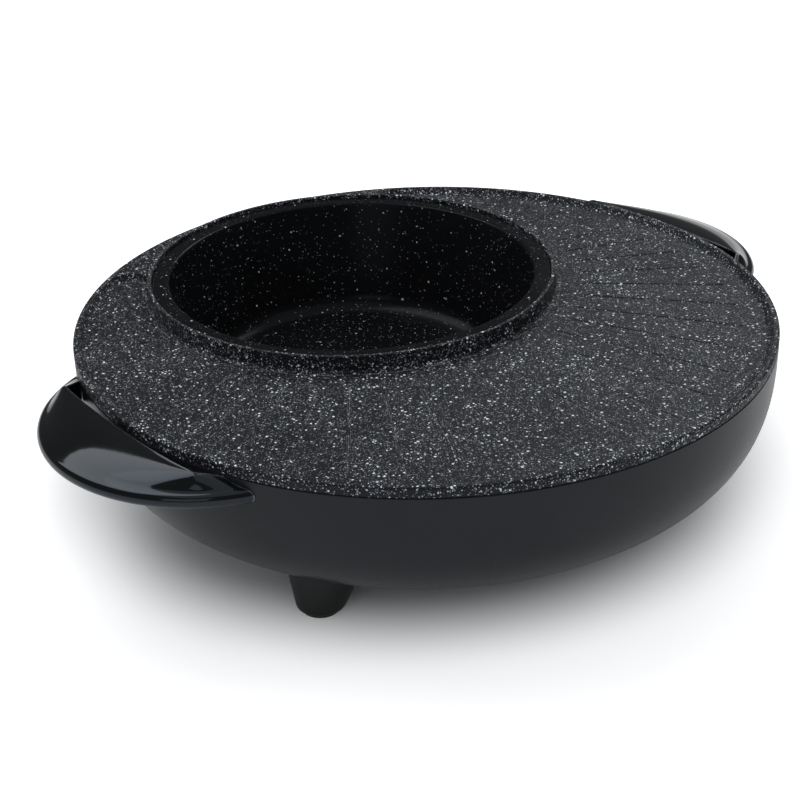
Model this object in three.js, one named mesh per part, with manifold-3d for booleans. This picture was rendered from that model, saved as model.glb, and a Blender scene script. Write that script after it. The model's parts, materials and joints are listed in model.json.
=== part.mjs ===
// Hot pot and grill combo: a round cast grill plate with an off-centre pot in its collar,
// on a deep moulded bowl with two wing handles and four feet. Millimetres, +Z up, origin on the
// table under the centre of the plate, handles along X, the pot towards +Y.
import * as THREE from "three";
import { mergeVertices } from "three/addons/utils/BufferGeometryUtils.js";
import Module from "manifold-3d";

const wasm = await Module();
wasm.setup();

// Shared clearances and the finish of the round forms
const fitGap = 0.3;
const runGap = 0.5;
const overrun = 8;
const weldDistance = 0.001;
const bodySegments = 52;
const potSegments = 44;
const smallSegments = 14;
const screwSegments = 8;
const knobSegments = 22;

// Bowl: outer curve from its rim to its flat underside
const undersideHeight = 13.8;
const bowlRadius = 200;
const bowlDepth = 90;
const bowlFlatRadius = 60;
const bowlRoundness = 2.94;
const bowlWall = 3;
const bowlStations = 9;
const liningStations = 7;
const panLedgeDrop = 9.1;
const panLedgeWidth = 3.5;
const panLedgeDepth = 3.7;

// Grill plate: rim, sunken floor, locating skirt and the collar round the pot
const plateFlangeHeight = 5.9;
const plateEdgeRadius = 0.8;
const rimWidth = 3;
const rimSlope = 3;
const recessDepth = 4;
const plateThickness = 4;
const skirtThickness = 3.8;
const skirtDepth = 7.1;
const skirtGap = 0.6;
const potOffsetShare = 0.3375;
const collarShare = 0.61;
const collarHeight = 5.9;
const collarWall = 2.4;
const collarFootWidth = 2;
const collarChamfer = 0.7;
const ledgeDrop = 4.3;
const ledgeThickness = 3.4;
const ledgeWidth = 7;
const recessEndRadius = 13.5;
const recessEndSteps = 8;

// Score lines, fanned out from the middle of the pot
const scoreCountPerSide = 14;
const scorePitchDegrees = 7.06;
const scoreWidth = 1.8;
const scoreDepth = 0.8;
const scoreCollarMargin = 14;
const scoreRimMargin = 16;

// Pot
const potDepthMargin = 22;
const potWall = 2.4;
const flangeThickness = 2;
const potCornerRadius = 16;
const cornerTurns = [0, 24, 48, 72];
const potFlangeEdgeRadius = 1.4;
const wellAirGap = 5;

// Reflector pan and heating tubes
const sheet = 1.2;
const panDepth = 11;
const panSlope = 4;
const panFlangeWidth = 6.6;
const wellBowlGap = 3.6;
const tubeRadius = 3.3;
const tubeSides = 6;
const grillTubeSteps = 60;
const potTubeSteps = 36;
const grillLoopOuterInset = 24;
const grillLoopInnerInset = 26;
const grillLoopEndDegrees = 14;
const grillLoopBackDegrees = 10;
const grillLoopSteps = 26;
const tubeBend = 9;
const legTurns = [30, 60, 90];
const legPoints = 5;
const terminalLength = 17;
const terminalHole = 5;
const potLoopRadius = 60;
const potLoopGapDegrees = 32;
const potLoopSteps = 22;
const potTubeBend = 4.5;
const potTerminalLength = 10;
const clipWidth = 10;
const clipFoot = 11;
const outerClipTurns = [-20, -90, -160];
const innerClipTurns = [-55, -125];

// Feet and their pads
const footAlongShare = 0.665;
const footAcrossShare = 0.339;
const footBottomRadius = 13.4;
const footTopRadius = 25;
const footReach = 34;
const footSplay = 12;
const padRadius = 10.5;
const padThickness = 3;
const padProud = 2.2;
const footEdgeRadius = 3;

// Handles: the ridge beside the plate, the arc of the outer edge and its drop
const handleProud = 40;
const handleArcRadius = 92;
const handleArcDegrees = 74;
const ridgeGap = 2.9;
const ridgeHalfLength = 61.2;
const ridgeBow = 3;
const ridgeDrop = 3;
const ridgeTurnShare = 0.7;
const slotEndRun = 24;
const slotEndWiden = 14;
const slotEndDrop = 7;
const handleEdgeDrop = 14.5;
const handleEdgeRadius = 4;
const handleSkin = 3.6;
const handleCrown = 1.9;
const handleLip = 3;
const handleLipDepth = 12;
const handleStations = 20;
const hollowEndShare = 0.38;
const solidStartShare = 0.56;
const lipMostShare = 0.4;
const ridgeEase = 0.6;
const ridgeEaseShare = 0.02;
const topShares = [0.35, 0.75];
const edgeTurns = [55, 0, -55];
const lugY = 22;
const lugWidth = 16;
const lugTopDrop = 9.8;
const lugHeight = 16;
const lugReach = 3.8;
const lugChamfer = 5.4;

// Screws
const screwShank = 1.5;
const screwHead = 3.4;
const screwCrownRadius = 2.7;
const screwHeadHeight = 2;
const screwBoss = 6;
const screwPad = 2;
const screwGrip = 10;

// Bottom cover
const coverShare = 0.5185;
const coverLedge = 8;
const coverThickness = 2;
const coverRing = 3.6;
const coverRingWidth = 4;
const coverScrewCount = 4;
const coverVentCount = 16;
const ventInner = 34;
const ventLength = 30;
const ventWidth = 4;

// Controls on the hidden side
const controlDegrees = 45;
const controlWidth = 124;
const controlHeight = 44;
const controlHeadroom = 2.5;
const controlProud = 6;
const controlCornerRadius = 9;
const controlWall = 2.6;
const windowSideGap = 3.1;
const windowTopGap = 4.5;
const fasciaInset = 4;
const fasciaThickness = 1.6;
const knobSpacingShare = 0.484;
const knobRadius = 17;
const knobHeight = 15;
const knobEdgeRadius = 1.6;
const knobGripWidth = 8;
const knobGripHeight = 6;
const spindleRadius = 3;
const spindleDepth = 7;
const thermostatRadius = 13.5;
const thermostatLength = 18;
const thermostatNeck = 8;
const thermostatNeckLength = 5.5;
const thermostatPlateShare = 0.274;
const thermostatPlateHeight = 18;
const tabWidth = 6.3;
const tabThickness = 0.9;
const tabLength = 7;
const lensRadius = 3;
const lensPitch = 14;
const lensProud = 1.2;
const lensEaseDepth = 0.9;
const panelScrewInset = 6.4;

// Mains inlet on the hidden side, under the right handle
const inletInset = 15.5;
const inletHeadroom = 3.3;
const inletWidth = 36;
const inletHeight = 23.4;
const inletFlange = 2.5;
const inletBodyWidth = 30;
const inletBodyHeight = 19;
const inletBodyDepth = 24;
const inletWall = 2.2;
const inletCavityDepth = 19;
const inletBossWall = 3;
const pinWidth = 4;
const pinThickness = 2;
const pinLength = 13;
const pinPitch = 7;
const pinRise = 2;

// Terminal block and thermal fuse
const blockAlongShare = 0.64;
const blockAcrossShare = 0.22;
const blockLength = 40;
const blockWidth = 20;
const blockHeight = 14;
const blockStep = 3;
const blockPadHeight = 8;
const fuseRadius = 2.6;
const fuseLength = 34;
const fuseShare = 0.56;

// Places and heights that follow from the sizes above
const plateRadius = bowlRadius;
const potOffset = potOffsetShare * plateRadius;
const collarRadius = collarShare * plateRadius;
const scoreStart = collarRadius + scoreCollarMargin;
const footX = footAlongShare * bowlRadius;
const footY = footAcrossShare * bowlRadius;
const handleReach = plateRadius + handleProud;
const coverRadius = coverShare * bowlRadius;
const controlFace = bowlRadius + controlProud;
const inletSeat = bowlRadius - inletInset;
const blockX = blockAlongShare * bowlRadius;
const blockY = -blockAcrossShare * bowlRadius;
const fuseY = -fuseShare * bowlRadius;
const knobSpacing = knobSpacingShare * controlWidth;
const thermostatPlateWidth = thermostatPlateShare * controlWidth;
const potDepth = bowlDepth - potDepthMargin;
const bowlTop = undersideHeight + bowlDepth;
const flangeUnder = bowlTop + fitGap;
const plateTop = flangeUnder + plateFlangeHeight;
const floorTop = plateTop - recessDepth;
const floorUnder = floorTop - plateThickness;
const skirtBottom = flangeUnder - skirtDepth;
const skirtRadius = bowlRadius - bowlWall - skirtGap;
const collarTop = plateTop + collarHeight;
const ledgeTop = collarTop - ledgeDrop;
const ledgeUnder = ledgeTop - ledgeThickness;
const collarBore = collarRadius - collarWall;
const ledgeBore = collarBore - ledgeWidth;
const panLedgeTop = bowlTop - panLedgeDrop;
const panFlangeUnder = panLedgeTop + fitGap;
const panUnder = panFlangeUnder - panDepth;
const panFloor = panUnder + sheet;
const controlCentre = panUnder - thermostatRadius - controlHeadroom;
const potRim = ledgeTop + fitGap;
const potUnder = potRim - potDepth;
const potTubeHeight = potUnder - fitGap - tubeRadius;
const wellFloor = potTubeHeight - tubeRadius - fitGap;
const wellUnder = wellFloor - sheet;
const grillTubeHeight = floorUnder - fitGap - tubeRadius;
const potCentre = new THREE.Vector2(0, potOffset);
const screwBore = screwShank + fitGap;
const lensBore = lensRadius + fitGap;

// Small tools for shapes

function degrees(angle) {
  return THREE.MathUtils.degToRad(angle);
}

// A closed three.js surface as a solid, with its vertices merged and its faces pointing out
function solid(geometry) {
  const bare = new THREE.BufferGeometry();
  bare.setAttribute("position", geometry.getAttribute("position").clone());
  if (geometry.index) {
    bare.setIndex(geometry.index.clone());
  }
  const merged = mergeVertices(bare, weldDistance);
  const position = merged.getAttribute("position");
  const corner = [new THREE.Vector3(), new THREE.Vector3(), new THREE.Vector3()];
  const faces = [];
  let volume = 0;
  for (let i = 0; i < merged.index.count; i += 3) {
    const ids = [0, 1, 2].map((k) => merged.index.getX(i + k));
    if (ids[0] === ids[1] || ids[1] === ids[2] || ids[2] === ids[0]) {
      continue;
    }
    ids.forEach((id, k) => corner[k].fromBufferAttribute(position, id));
    volume += corner[0].dot(corner[1].clone().cross(corner[2]));
    faces.push(ids);
  }
  const triVerts = new Uint32Array(faces.flatMap((ids) => (volume < 0 ? [ids[0], ids[2], ids[1]] : ids)));
  const vertProperties = new Float32Array(position.array);
  return new wasm.Manifold(new wasm.Mesh({ numProp: 3, vertProperties, triVerts }));
}

function surface(shape) {
  const mesh = shape.getMesh();
  const geometry = new THREE.BufferGeometry();
  geometry.setAttribute("position", new THREE.BufferAttribute(mesh.vertProperties, 3));
  geometry.setIndex(new THREE.BufferAttribute(mesh.triVerts, 1));
  geometry.computeVertexNormals();
  return geometry;
}

// A profile of [radius, height] points turned about the Z axis; it closes on itself or on the axis
function revolve(profile, segments) {
  const points = profile.map(([radius, height]) => new THREE.Vector2(radius, height));
  if (points[0].x > 0) {
    points.push(points[0].clone());
  }
  return new THREE.LatheGeometry(points, segments).rotateX(Math.PI / 2);
}

// A disc or cone frustum standing on the height given
function drum(bottomRadius, topRadius, bottom, top, segments) {
  return revolve([[0, bottom], [bottomRadius, bottom], [topRadius, top], [0, top]], segments);
}

function block(low, high) {
  const size = high.map((value, i) => value - low[i]);
  const middle = high.map((value, i) => (value + low[i]) / 2);
  return new THREE.BoxGeometry(...size).translate(...middle);
}

function onCircle(centre, radius, angle) {
  return new THREE.Vector2(centre.x + radius * Math.cos(angle), centre.y + radius * Math.sin(angle));
}

// Points along an arc, both ends included
function arc(centre, radius, from, to, steps) {
  const step = (to - from) / steps;
  return Array.from({ length: steps + 1 }, (_, i) => onCircle(centre, radius, from + step * i));
}

function extrude(points, depth) {
  return new THREE.ExtrudeGeometry(new THREE.Shape(points), { depth, bevelEnabled: false });
}

function roundedRectangle(width, height, corner) {
  const quarter = Math.PI / 2;
  const steps = 3;
  return [0, 1, 2, 3].flatMap((turn) => {
    const sideX = turn === 0 || turn === 3 ? 1 : -1;
    const sideY = turn < 2 ? 1 : -1;
    const centre = new THREE.Vector2(sideX * (width / 2 - corner), sideY * (height / 2 - corner));
    return arc(centre, corner, turn * quarter, (turn + 1) * quarter, steps);
  });
}

// Turns a form drawn on +Z so that it points along +X, its own +Y becoming the height
function pointAlongX(geometry) {
  const basis = new THREE.Matrix4().makeBasis(
    new THREE.Vector3(0, 1, 0), new THREE.Vector3(0, 0, 1), new THREE.Vector3(1, 0, 0));
  return geometry.applyMatrix4(basis);
}

function tube(points, radius, sides, steps) {
  const lastTurn = 2 * Math.PI * (1 - 1 / sides);
  const section = new THREE.Shape(arc(new THREE.Vector2(), radius, 0, lastTurn, sides - 1));
  const route = new THREE.CatmullRomCurve3(points, false, "centripetal");
  return new THREE.ExtrudeGeometry(section, { steps, extrudePath: route });
}

// Rings of points with the same count joined into one closed skin, each end closed to its middle
function loft(rings) {
  const count = rings[0].length;
  const points = rings.flat();
  const faces = [];
  for (let i = 0; i + 1 < rings.length; i += 1) {
    for (let k = 0; k < count; k += 1) {
      const next = (k + 1) % count;
      const a = i * count + k;
      const b = i * count + next;
      faces.push(a, b, b + count, a, b + count, a + count);
    }
  }
  for (const end of [0, rings.length - 1]) {
    const middle = new THREE.Vector3();
    rings[end].forEach((point) => middle.addScaledVector(point, 1 / count));
    const hub = points.push(middle) - 1;
    for (let k = 0; k < count; k += 1) {
      const a = end * count + k;
      const b = end * count + ((k + 1) % count);
      faces.push(...(end === 0 ? [b, a, hub] : [a, b, hub]));
    }
  }
  const geometry = new THREE.BufferGeometry().setFromPoints(points);
  geometry.setIndex(faces);
  return geometry;
}

function joined(shapes) {
  return shapes.reduce((whole, shape) => whole.add(shape));
}

function without(whole, cuts) {
  return cuts.reduce((rest, cut) => rest.subtract(cut), whole);
}

// Named meshes and their finishes

const cooker = new THREE.Group();
const finishes = {
  stoneCoat: { color: 0x34373b, roughness: 0.62, metalness: 0.1 },
  potCoat: { color: 0x17181a, roughness: 0.42, metalness: 0.15 },
  satinBlack: { color: 0x2f3034, roughness: 0.42, metalness: 0 },
  glossBlack: { color: 0x141618, roughness: 0.12, metalness: 0 },
  matteBlack: { color: 0x1f2022, roughness: 0.6, metalness: 0 },
  rubber: { color: 0x1b1b1b, roughness: 0.9, metalness: 0 },
  sheetSteel: { color: 0xb4b7ba, roughness: 0.35, metalness: 0.9 },
  tubeSteel: { color: 0x6e7072, roughness: 0.45, metalness: 0.8 },
  screwSteel: { color: 0x8c8e90, roughness: 0.35, metalness: 0.9 },
  brass: { color: 0xb8964e, roughness: 0.35, metalness: 0.9 },
  ceramic: { color: 0xe6e2d8, roughness: 0.5, metalness: 0 },
  redLens: { color: 0xb3201c, roughness: 0.15, metalness: 0 },
  greenLens: { color: 0x2f9a45, roughness: 0.15, metalness: 0 },
};

function add(name, shape, finish, parent = cooker) {
  const geometry = shape.isBufferGeometry ? surface(solid(shape)) : surface(shape);
  const mesh = new THREE.Mesh(geometry, new THREE.MeshStandardMaterial(finishes[finish]));
  mesh.name = name;
  parent.add(mesh);
  return mesh;
}

// Outer curve of the bowl, a superellipse from the rim to the flat underside
function bowlPoint(angle, inset) {
  const power = 2 / bowlRoundness;
  const at = (turn) => [
    bowlFlatRadius + (bowlRadius - bowlFlatRadius) * Math.cos(turn) ** power,
    bowlTop - bowlDepth * Math.sin(turn) ** power,
  ];
  const nudge = 0.002;
  const [r0, z0] = at(Math.max(angle - nudge, 0));
  const [r1, z1] = at(Math.min(angle + nudge, Math.PI / 2));
  const length = Math.hypot(r1 - r0, z1 - z0);
  const [radius, height] = at(angle);
  return [radius + (inset * (z1 - z0)) / length, height - (inset * (r1 - r0)) / length];
}

function bowlCurve(inset, stations) {
  return Array.from({ length: stations + 1 }, (_, i) => bowlPoint((i * Math.PI) / 2 / stations, inset));
}

// Where a curve of [radius, height] points, read downwards, passes a height or a radius
function crossing(curve, axis, value) {
  const other = 1 - axis;
  const i = Math.max(curve.findIndex((point) => point[axis] <= value), 1);
  const [a, b] = [curve[i - 1], curve[i]];
  const share = (a[axis] - value) / (a[axis] - b[axis]);
  return a[other] + (b[other] - a[other]) * share;
}

const fineStations = 90;
const outerCurve = bowlCurve(0, fineStations);
const innerCurve = bowlCurve(bowlWall, fineStations);
const outerHeightAt = (radius) => crossing(outerCurve, 0, radius);
const innerHeightAt = (radius) => crossing(innerCurve, 0, radius);
const innerRadiusAt = (height) => crossing(innerCurve, 1, height);

// The space that the bowl takes, with the plate above it, for pieces that seat on its outside
function bowlEnvelope(gap) {
  const curve = bowlCurve(-gap, bowlStations).filter(([radius]) => radius > bowlFlatRadius);
  const low = curve[curve.length - 1][1];
  const profile = [[0, plateTop + overrun], [curve[0][0], plateTop + overrun], ...curve, [0, low]];
  return solid(revolve(profile, bodySegments));
}

// Bowl housing: one revolved wall with the pan's ledge and the cover's ring, then its bosses and cuts
const coverCeiling = outerHeightAt(coverRadius) + coverThickness + fitGap;
const coverBore = coverRadius - coverLedge;
const coverRecess = coverRadius + fitGap;
const ringTop = coverCeiling + coverRing;
const ringOuter = coverRadius + coverRingWidth;
const panLedgeRadius = bowlRadius - bowlWall - panLedgeWidth;
const rimBore = bowlRadius - bowlWall;
const ledgeRootHeight = panLedgeTop - panLedgeDepth - panLedgeWidth;
const outerWall = bowlCurve(0, bowlStations).filter(([radius]) => radius > coverRecess + bowlWall);
const innerWall = bowlCurve(bowlWall, liningStations)
  .filter(([radius, height]) => radius > ringOuter + bowlWall && height < ledgeRootHeight - bowlWall)
  .reverse();
const bowlProfile = [
  ...outerWall,
  [coverRecess, outerHeightAt(coverRecess)],
  [coverRecess, coverCeiling],
  [coverBore, coverCeiling],
  [coverBore, ringTop],
  [ringOuter, ringTop],
  [ringOuter, innerHeightAt(ringOuter)],
  ...innerWall,
  [innerRadiusAt(ledgeRootHeight), ledgeRootHeight],
  [panLedgeRadius, panLedgeTop - panLedgeDepth],
  [panLedgeRadius, panLedgeTop],
  [rimBore, panLedgeTop],
  [rimBore, bowlTop],
];
const bowlShell = solid(revolve(bowlProfile, bodySegments));
const bowlSpace = bowlEnvelope(0);

// A screw: its head sits on the seat and its shank runs along the direction
function screwGeometry(length) {
  return revolve([
    [0, -screwHeadHeight],
    [screwCrownRadius, -screwHeadHeight],
    [screwHead, -screwHeadHeight / 2],
    [screwHead, 0],
    [screwShank, 0],
    [screwShank, length],
    [0, length],
  ], screwSegments);
}

function placeAlong(geometry, seat, direction) {
  const turn = new THREE.Quaternion().setFromUnitVectors(new THREE.Vector3(0, 0, 1), direction);
  return geometry.applyQuaternion(turn).translate(seat.x, seat.y, seat.z);
}

// A boss inside the bowl wall with a flat seat, and the hole through it for a screw
const bosses = [];
const holes = [];
const screws = [];

function fasten(name, seat, direction, length) {
  const start = seat.clone().addScaledVector(direction, fitGap);
  const bossDepth = screwGrip + overrun;
  bosses.push(solid(placeAlong(drum(screwBoss, screwBoss, 0, bossDepth, screwSegments), start, direction)));
  const bore = drum(screwBore, screwBore, -overrun, length + overrun, screwSegments);
  holes.push(solid(placeAlong(bore, start, direction)));
  screws.push([name, placeAlong(screwGeometry(length), seat, direction)]);
}

// Feet: splayed tapered cups cut to the bowl, each with a rubber pad and one screw from inside
const footSolids = [];
const feet = [["front_left", -1, -1], ["front_right", 1, -1], ["back_right", 1, 1], ["back_left", -1, 1]];
const footRadius = Math.hypot(footX, footY);
const seatSpace = bowlEnvelope(fitGap);
const cupHeight = footReach - padProud;
const padBore = padRadius + fitGap;
const cupProfile = [
  [0, 0],
  [footBottomRadius - footEdgeRadius, 0],
  [footBottomRadius - footEdgeRadius / 4, footEdgeRadius / 3],
  [footBottomRadius, footEdgeRadius],
  [footTopRadius, cupHeight],
  [0, cupHeight],
];
for (const [corner, sideX, sideY] of feet) {
  const lean = new THREE.Matrix4().makeShear(0, 0, 0, 0, 0, 0);
  const inward = new THREE.Vector2(-sideX * footX, -sideY * footY).divideScalar(footRadius);
  const drift = footSplay / cupHeight;
  lean.elements[8] = inward.x * drift;
  lean.elements[9] = inward.y * drift;
  const cup = revolve(cupProfile, smallSegments)
    .applyMatrix4(lean)
    .translate(sideX * footX, sideY * footY, padProud);
  const recess = drum(padBore, padBore, -overrun, padThickness + fitGap, smallSegments)
    .translate(sideX * footX, sideY * footY, 0);
  const screwRadius = footRadius - footSplay / 2;
  const place = inward.clone().multiplyScalar(-screwRadius);
  const seat = innerHeightAt(screwRadius + screwBoss) + screwPad;
  const length = seat - padThickness - overrun / 2;
  const down = new THREE.Vector3(0, 0, -1);
  fasten("foot_screw_" + corner, new THREE.Vector3(place.x, place.y, seat + fitGap), down, length);
  const foot = without(solid(cup), [seatSpace, solid(recess), holes[holes.length - 1]]);
  footSolids.push(["foot_" + corner, foot]);
  const pad = drum(padRadius, padRadius, 0, padThickness, smallSegments)
    .translate(sideX * footX, sideY * footY, 0);
  add("foot_pad_" + corner, pad, "rubber");
}
footSolids.forEach(([name, foot]) => add(name, foot, "matteBlack"));

// Handles: a wing lofted between the ridge beside the plate and the drooping outer arc, with solid
// ends that meet the bowl, a hollow underside and two lugs behind the slot for the screws
const arcCentreX = handleReach - handleArcRadius;
const edgeCentreRadius = handleArcRadius - handleEdgeRadius;
const edgeHeight = plateTop - handleEdgeDrop;
const ridgeX = plateRadius + ridgeGap;
const ridgeHeight = plateTop - ridgeDrop;
const handleUnder = edgeHeight - handleEdgeRadius;

function wingSection(along) {
  const side = Math.sign(along) || 1;
  const past = Math.max(Math.abs(along) - ridgeTurnShare, 0) / (1 - ridgeTurnShare);
  const ridgeShare = Math.min(Math.abs(along) / ridgeTurnShare, 1);
  const angle = degrees(handleArcDegrees) * along;
  const edge = onCircle(new THREE.Vector2(arcCentreX, 0), edgeCentreRadius, angle);
  const ridge = new THREE.Vector2(
    ridgeX - ridgeBow * ridgeShare ** 2 - past * slotEndRun,
    side * (ridgeHalfLength * ridgeShare + past * slotEndWiden));
  const top = ridgeHeight - past * slotEndDrop;
  const span = edge.clone().sub(ridge);
  const run = span.length();
  span.normalize();
  const solidShare = THREE.MathUtils.smoothstep(Math.abs(along), hollowEndShare, solidStartShare);
  const shoulder = edgeHeight + handleEdgeRadius;
  const crown = handleCrown * (1 - 2 * past);
  const topAt = (share) => THREE.MathUtils.lerp(top, shoulder, share) + 4 * crown * share * (1 - share);
  const lip = Math.min(handleLip, run * lipMostShare);
  const under = (height) => THREE.MathUtils.lerp(height, handleUnder, solidShare);
  const section = [[0, top - ridgeEase], [run * ridgeEaseShare, top]];
  topShares.forEach((share) => section.push([run * share, topAt(share)]));
  for (const turn of edgeTurns) {
    section.push(onCircle(new THREE.Vector2(run, edgeHeight), handleEdgeRadius, degrees(turn)).toArray());
  }
  section.push([run, handleUnder]);
  [...topShares].reverse().forEach((share) => {
    section.push([lip + (run - lip) * share, under(topAt(share) - handleSkin)]);
  });
  section.push([lip, under(topAt(0) - handleSkin)]);
  section.push([lip, under(top - handleLipDepth)]);
  section.push([0, under(top - handleLipDepth)]);
  return section.map(([out, height]) => {
    const place = ridge.clone().addScaledVector(span, out);
    return new THREE.Vector3(place.x, place.y, height);
  });
}

const stations = Array.from({ length: handleStations + 1 }, (_, i) => (2 * i) / handleStations - 1);
const wing = solid(loft(stations.map(wingSection)));
const lugTop = bowlTop - lugTopDrop;
const lugBottom = lugTop - lugHeight;
const inletCentre = lugBottom - inletHeadroom - inletBossWall - inletHeight / 2;
const lugOuter = ridgeX + lugReach;
const lugShoulder = ridgeHeight - handleLipDepth + handleLip;
const lugRoot = rimBore - overrun;
const lugProfile = [
  [lugRoot, lugBottom],
  [lugOuter - lugChamfer, lugBottom],
  [lugOuter, lugBottom + lugChamfer],
  [lugOuter, lugShoulder],
  [ridgeX, lugShoulder],
  [ridgeX, lugTop],
  [lugRoot, lugTop],
];

function lug(side) {
  const shape = new THREE.Shape(lugProfile.map(([x, z]) => new THREE.Vector2(x, z)));
  const bar = new THREE.ExtrudeGeometry(shape, { depth: lugWidth, bevelEnabled: false });
  return solid(bar.rotateX(Math.PI / 2).translate(0, side * lugY + lugWidth / 2, 0));
}

for (const [name, turn] of [["handle_right", 0], ["handle_left", Math.PI]]) {
  const pilots = [];
  for (const side of [-1, 1]) {
    const reach = innerRadiusAt(lugBottom + lugHeight / 2);
    const seatX = Math.sqrt(reach ** 2 - (lugY + screwBoss) ** 2) - screwPad;
    const local = new THREE.Vector3(seatX, side * lugY, lugBottom + lugHeight / 2);
    const axis = new THREE.Vector3(0, 0, 1);
    const direction = new THREE.Vector3(1, 0, 0).applyAxisAngle(axis, turn);
    const length = ridgeX - seatX - fitGap;
    const suffix = side < 0 ? "_screw_a" : "_screw_b";
    fasten(name + suffix, local.clone().applyAxisAngle(axis, turn), direction, length);
    const bore = drum(screwBore, screwBore, 0, length + runGap, screwSegments);
    pilots.push(solid(placeAlong(bore, local, new THREE.Vector3(1, 0, 0))));
  }
  const shape = without(wing.add(lug(-1)).add(lug(1)), [seatSpace, ...pilots]);
  add(name, shape, "glossBlack").rotation.z = turn;
}

// Control housing on the hidden side: a hollow pad with its face square to its own +X
const controls = new THREE.Group();
controls.rotation.z = degrees(controlDegrees);
cooker.add(controls);
const toControls = new THREE.Matrix4().makeRotationZ(-degrees(controlDegrees));
const toCooker = toControls.clone().invert();
const controlRoot = controlFace / 2;
const padOutline = roundedRectangle(controlWidth, controlHeight, controlCornerRadius);
const padInside = roundedRectangle(
  controlWidth - 2 * controlWall, controlHeight - 2 * controlWall, controlCornerRadius - controlWall);
const controlPad = pointAlongX(extrude(padOutline, controlFace - controlRoot))
  .translate(controlRoot, 0, controlCentre);
const controlHollow = pointAlongX(extrude(padInside, controlFace - controlWall - controlRoot))
  .translate(controlRoot, 0, controlCentre);
const panelScrewY = controlWidth / 2 - panelScrewInset;
const fasciaBack = controlFace + fitGap;
const fasciaFront = fasciaBack + fasciaThickness;
const knobBack = fasciaFront + runGap;
const faceInside = controlFace - controlWall;
const knobPlaces = [["grill", -knobSpacing / 2], ["pot", knobSpacing / 2]];
const lensPlaces = [["grill", -lensPitch / 2], ["pot", lensPitch / 2]];
const panelBores = [];
for (const [, y] of knobPlaces) {
  const spindleWay = spindleRadius + runGap;
  const bore = drum(spindleWay, spindleWay, faceInside - overrun, fasciaFront + overrun, smallSegments);
  panelBores.push(solid(pointAlongX(bore).translate(0, y, controlCentre)));
}
for (const [, rise] of lensPlaces) {
  const bore = drum(lensBore, lensBore, faceInside - overrun, fasciaFront + overrun, smallSegments);
  panelBores.push(solid(pointAlongX(bore).translate(0, 0, controlCentre + rise)));
}
const localSeatSpace = solid(surface(seatSpace).applyMatrix4(toControls));
const panelBosses = [];
for (const [suffix, side] of [["a", -1], ["b", 1]]) {
  const reach = innerRadiusAt(controlCentre);
  const seatX = Math.sqrt(reach ** 2 - (panelScrewY + screwBoss) ** 2) - screwPad;
  const local = new THREE.Vector3(seatX, side * panelScrewY, controlCentre);
  const direction = new THREE.Vector3(1, 0, 0).transformDirection(toCooker);
  const length = faceInside - seatX - runGap;
  fasten("panel_screw_" + suffix, local.clone().applyMatrix4(toCooker), direction, length);
  const postRadius = controlWall + screwShank;
  const post = drum(postRadius, postRadius, controlRoot, faceInside, screwSegments);
  const pilot = drum(screwBore, screwBore, controlRoot, faceInside - fitGap, screwSegments);
  panelBosses.push([solid(pointAlongX(post).translate(0, local.y, controlCentre)),
    solid(pointAlongX(pilot).translate(0, local.y, controlCentre))]);
}
const housing = without(
  solid(controlPad).subtract(solid(controlHollow)).add(panelBosses[0][0]).add(panelBosses[1][0]),
  [localSeatSpace, panelBosses[0][1], panelBosses[1][1], ...panelBores]);
add("control_housing", housing, "satinBlack", controls);
const fasciaOutline = roundedRectangle(
  controlWidth - 2 * fasciaInset, controlHeight - 2 * fasciaInset, controlCornerRadius - fasciaInset);
const fascia = pointAlongX(extrude(fasciaOutline, fasciaThickness)).translate(fasciaBack, 0, controlCentre);
add("control_fascia", without(solid(fascia), panelBores), "glossBlack", controls);

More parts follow.
